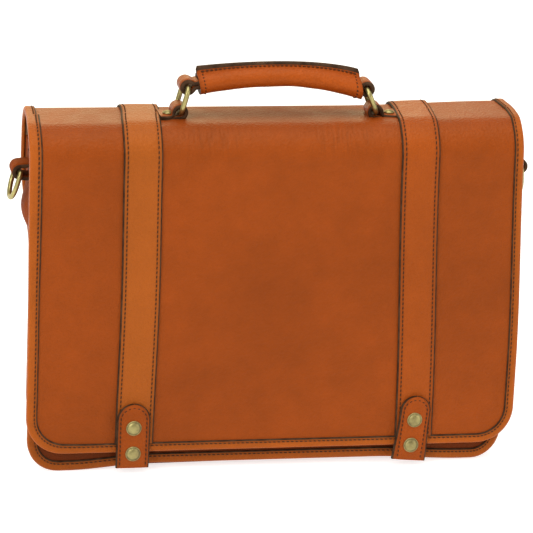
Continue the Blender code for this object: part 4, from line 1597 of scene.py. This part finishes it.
def board(name, low, high, rounding, materials, ride, node, slot, rows=()):
    """An upright panel between two corners, with rounded edges and rows of stitches."""
    wide, tall, deep = high.x - low.x, high.z - low.z, high.y - low.y
    mesh = bmesh.new()
    place = Matrix.Translation((low + high) / 2) @ Matrix.Diagonal((wide, deep, tall, 1))
    bmesh.ops.create_cube(mesh, size=1, matrix=place)
    upright = [edge for edge in mesh.edges if abs(edge.verts[0].co.y - edge.verts[1].co.y) > deep / 2]
    bmesh.ops.bevel(mesh, geom=upright, offset=0.010, segments=6, profile=0.5, affect="EDGES", material=-1)
    rims = [edge for edge in mesh.edges if edge.calc_face_angle(0) > 1]
    bmesh.ops.bevel(mesh, geom=rims, offset=rounding, segments=3, profile=0.5, affect="EDGES", material=-1)
    bmesh.ops.recalc_face_normals(mesh, faces=mesh.faces)
    lay_upright(mesh)
    if rows:
        sewing = stitches([[(x, z, 0) for x, z in row] for row in rows])
        for vert in sewing.verts:
            vert.co = (vert.co.x, low.y - vert.co.z, vert.co.y)
        add(mesh, sewing)
    return piece(name, mesh, materials, ride=ride, replaces=(node,), slot=slot, sharp=40)


class MakeInside(bpy.types.Operator):
    """The padded divider, the base board, the zipped pocket and the clasps"""

    bl_idname = "briefcase.inside"
    bl_label = "Inside"

    def execute(self, context):
        cloth = finishes("lining", "edge_paint", "thread")
        low, high = frame_box("divider")
        inset = Vector((0.0095, 0, 0))
        seam = Vector((0.008, 0, 0.008))
        start, stop = low + inset + seam, high - inset - seam
        corners = ((start.x, start.z), (stop.x, start.z), (stop.x, stop.z), (start.x, stop.z))
        rows = [[*corners, corners[0]]]
        divider = board(
            "padded_divider", low + inset, high - inset, 0.0014, cloth, "case", "divider", "lining", rows
        )
        low, high = frame_box("base_board")
        inset = Vector((0.011, 0, 0))
        board("base", low + inset, high - inset, 0.0008, cloth, "case", "base_board", "lining")
        low, high = frame_box("pocket_panel")
        down, edge = 0.0035, 0.004
        left, right = low.x + edge, high.x - edge
        bottom, top = low.z + edge, high.z - down
        rows = [[(left, top), (left, bottom), (right, bottom), (right, top), (left, top)]]
        board("pocket_front", low, high, 0.0004, cloth, "case", "pocket_panel", "lining", rows)
        low, high = frame_box("pocket_header")
        rows = [[(low.x + edge, low.z + down), (high.x - edge, low.z + down)]]
        board("pocket_top", low, high, 0.0004, cloth, "case", "pocket_header", "lining", rows)
        self.zip()
        brass, steel = finishes("brass", "steel")
        for name in ("zip_slider", "zip_puller"):
            self.finish(name, brass)
        for side in SIDES:
            self.finish(f"{side}_flap_magnet", steel)
            self.finish(f"{side}_case_magnet", steel)
        return {"FINISHED"}

    def finish(self, name, material):
        for slot in frame["nodes"][name].material_slots:
            slot.material = material

    def zip(self):
        """The zip: a tape with two rows of moulded teeth that mesh in the middle."""
        low, high = frame_box("zip_chain")
        middle = (low.z + high.z) / 2
        deep = high.y - low.y
        mesh = bmesh.new()
        place = Matrix.Translation((0, high.y - deep * 0.3, middle)) @ Matrix.Diagonal(
            (high.x - low.x, deep * 0.5, high.z - low.z, 1)
        )
        bmesh.ops.create_cube(mesh, size=1, matrix=place)
        pitch = 0.0024
        count = int((high.x - low.x) / pitch)
        for row in (-1, 1):
            tooth = bmesh.new()
            place = Matrix.Translation(
                (low.x + pitch * (0.5 + row * 0.25), low.y + deep * 0.32, middle + row * 0.0007)
            ) @ Matrix.Diagonal((pitch * 0.42, deep * 0.55, 0.0026, 1))
            bmesh.ops.create_cube(tooth, size=1, matrix=place)
            bmesh.ops.spin(
                tooth,
                geom=tooth.faces[:],
                cent=(0, 0, 0),
                axis=(0, 0, 1),
                dvec=(pitch, 0, 0),
                angle=0,
                steps=count - 1,
                use_duplicate=True,
            )
            for face in tooth.faces:
                face.material_index = 1
            add(mesh, tooth)
        bmesh.ops.recalc_face_normals(mesh, faces=mesh.faces)
        lay_upright(mesh)
        slots = finishes("zip_cloth", "brass")
        piece("zip", mesh, slots, ride="case", replaces=("zip_chain",), slot="zip_tape", sharp=30)


# ------------------------------------------------------------------ stage
# Each lamp's name, place, target, width, power and tint.
LAMPS = (
    ("overhead", (-0.1, -0.35, 1.9), (0, 0, 0.1), 1.9, 30, (1, 1, 1)),
    ("key_left", (-1.9, -1.9, 1.5), (0, 0, 0.15), 1.5, 36, (1, 1, 1)),
    ("fill_right", (2.1, -1.7, 1.0), (0, 0, 0.15), 1.5, 18, (1, 1, 1)),
    ("back_wash", (0.0, 3.0, 1.15), (0, 0, 0.25), 2.4, 27, (1, 0.79, 0.36)),
)


class MakeStage(bpy.types.Operator):
    """The floor, the studio lights and the camera"""

    bl_idname = "briefcase.stage"
    bl_label = "Stage"

    def execute(self, context):
        scene = context.scene
        scene.view_settings.view_transform = "Standard"
        self.floor()
        self.world(scene)
        for lamp in LAMPS:
            self.lamp(*lamp)
        self.camera(scene)
        return {"FINISHED"}

    def floor(self):
        mesh = bmesh.new()
        bmesh.ops.create_grid(mesh, x_segments=2, y_segments=2, size=14)
        bmesh.ops.translate(mesh, vec=(0, 0, -0.0050), verts=mesh.verts)
        data = bpy.data.meshes.new("floor")
        mesh.to_mesh(data)
        mesh.free()
        made = Finish("pale_floor")
        tone = made.noise(made.place(), 3.0)
        made.set(
            Base_Color=made.mix(tone, (0.56, 0.56, 0.56), (0.58, 0.58, 0.58)),
            Roughness=0.85,
            Emission_Color=(1.0, 1.0, 1.0),
            Emission_Strength=0.74,
        )
        data.materials.append(made.material)
        floor = bpy.data.objects.new("floor", data)
        bpy.context.scene.collection.objects.link(floor)

    def world(self, scene):
        world = bpy.data.worlds.new("studio")
        world.use_nodes = True
        back = world.node_tree.nodes["Background"]
        back.inputs["Color"].default_value = (1.0, 0.95, 0.86, 1)
        back.inputs["Strength"].default_value = 0.55
        scene.world = world

    def lamp(self, name, place, target, size, power, tint):
        data = bpy.data.lights.new(name, "AREA")
        data.shape = "DISK"
        data.size = size
        data.energy = power
        data.color = tint
        lamp = bpy.data.objects.new(name, data)
        lamp.location = place
        aim = Vector(target) - Vector(place)
        lamp.rotation_euler = aim.to_track_quat("-Z", "Y").to_euler()
        bpy.context.scene.collection.objects.link(lamp)

    def camera(self, scene):
        yaw, rise, roll = math.radians(11.66), math.radians(17.3), math.radians(-2.52)
        away = 2.772
        target = Vector((-0.0017, 0, 0.1525))
        look = Vector((math.sin(yaw) * math.cos(rise), math.cos(yaw) * math.cos(rise), -math.sin(rise)))
        data = bpy.data.cameras.new("camera")
        data.lens = 231.7
        data.sensor_width = 36
        data.clip_end = 100
        camera = bpy.data.objects.new("camera", data)
        camera.location = target - look * away
        camera.rotation_mode = "QUATERNION"
        turn = look.to_track_quat("-Z", "Y") @ Matrix.Rotation(-roll, 4, "Z").to_quaternion()
        camera.rotation_quaternion = turn
        scene.collection.objects.link(camera)
        scene.camera = camera


class BriefcasePanel(bpy.types.Panel):
    """Sizes, colours and makers of the briefcase"""

    bl_idname = "VIEW3D_PT_briefcase"
    bl_label = "Leather Briefcase"
    bl_space_type = "VIEW_3D"
    bl_region_type = "UI"
    bl_category = "Briefcase"

    def draw(self, context):
        layout = self.layout
        for group in (context.scene.briefcase_sizes, context.scene.briefcase_colours):
            column = layout.column(align=True)
            for name in group.__annotations__:
                column.prop(group, name)
        for maker in MAKERS:
            layout.operator(maker.bl_idname)


MAKERS = (
    MakeStage,
    MakeHide,
    MakeBindings,
    MakeStraps,
    MakeTabs,
    MakeFront,
    MakeGusset,
    MakeHandleMounts,
    MakeHandle,
    MakeSideRings,
    MakeInside,
)
CLASSES = (BriefcaseSizes, BriefcaseColours, *MAKERS, BriefcasePanel)


def register():
    for cls in CLASSES:
        bpy.utils.register_class(cls)
    bpy.types.Scene.briefcase_sizes = PointerProperty(type=BriefcaseSizes)
    bpy.types.Scene.briefcase_colours = PointerProperty(type=BriefcaseColours)


def unregister():
    del bpy.types.Scene.briefcase_sizes
    del bpy.types.Scene.briefcase_colours
    for cls in reversed(CLASSES):
        bpy.utils.unregister_class(cls)


def main():
    register()
    for maker in MAKERS:
        group, name = maker.bl_idname.split(".")
        getattr(getattr(bpy.ops, group), name)()


if __name__ == "__main__":
    main()
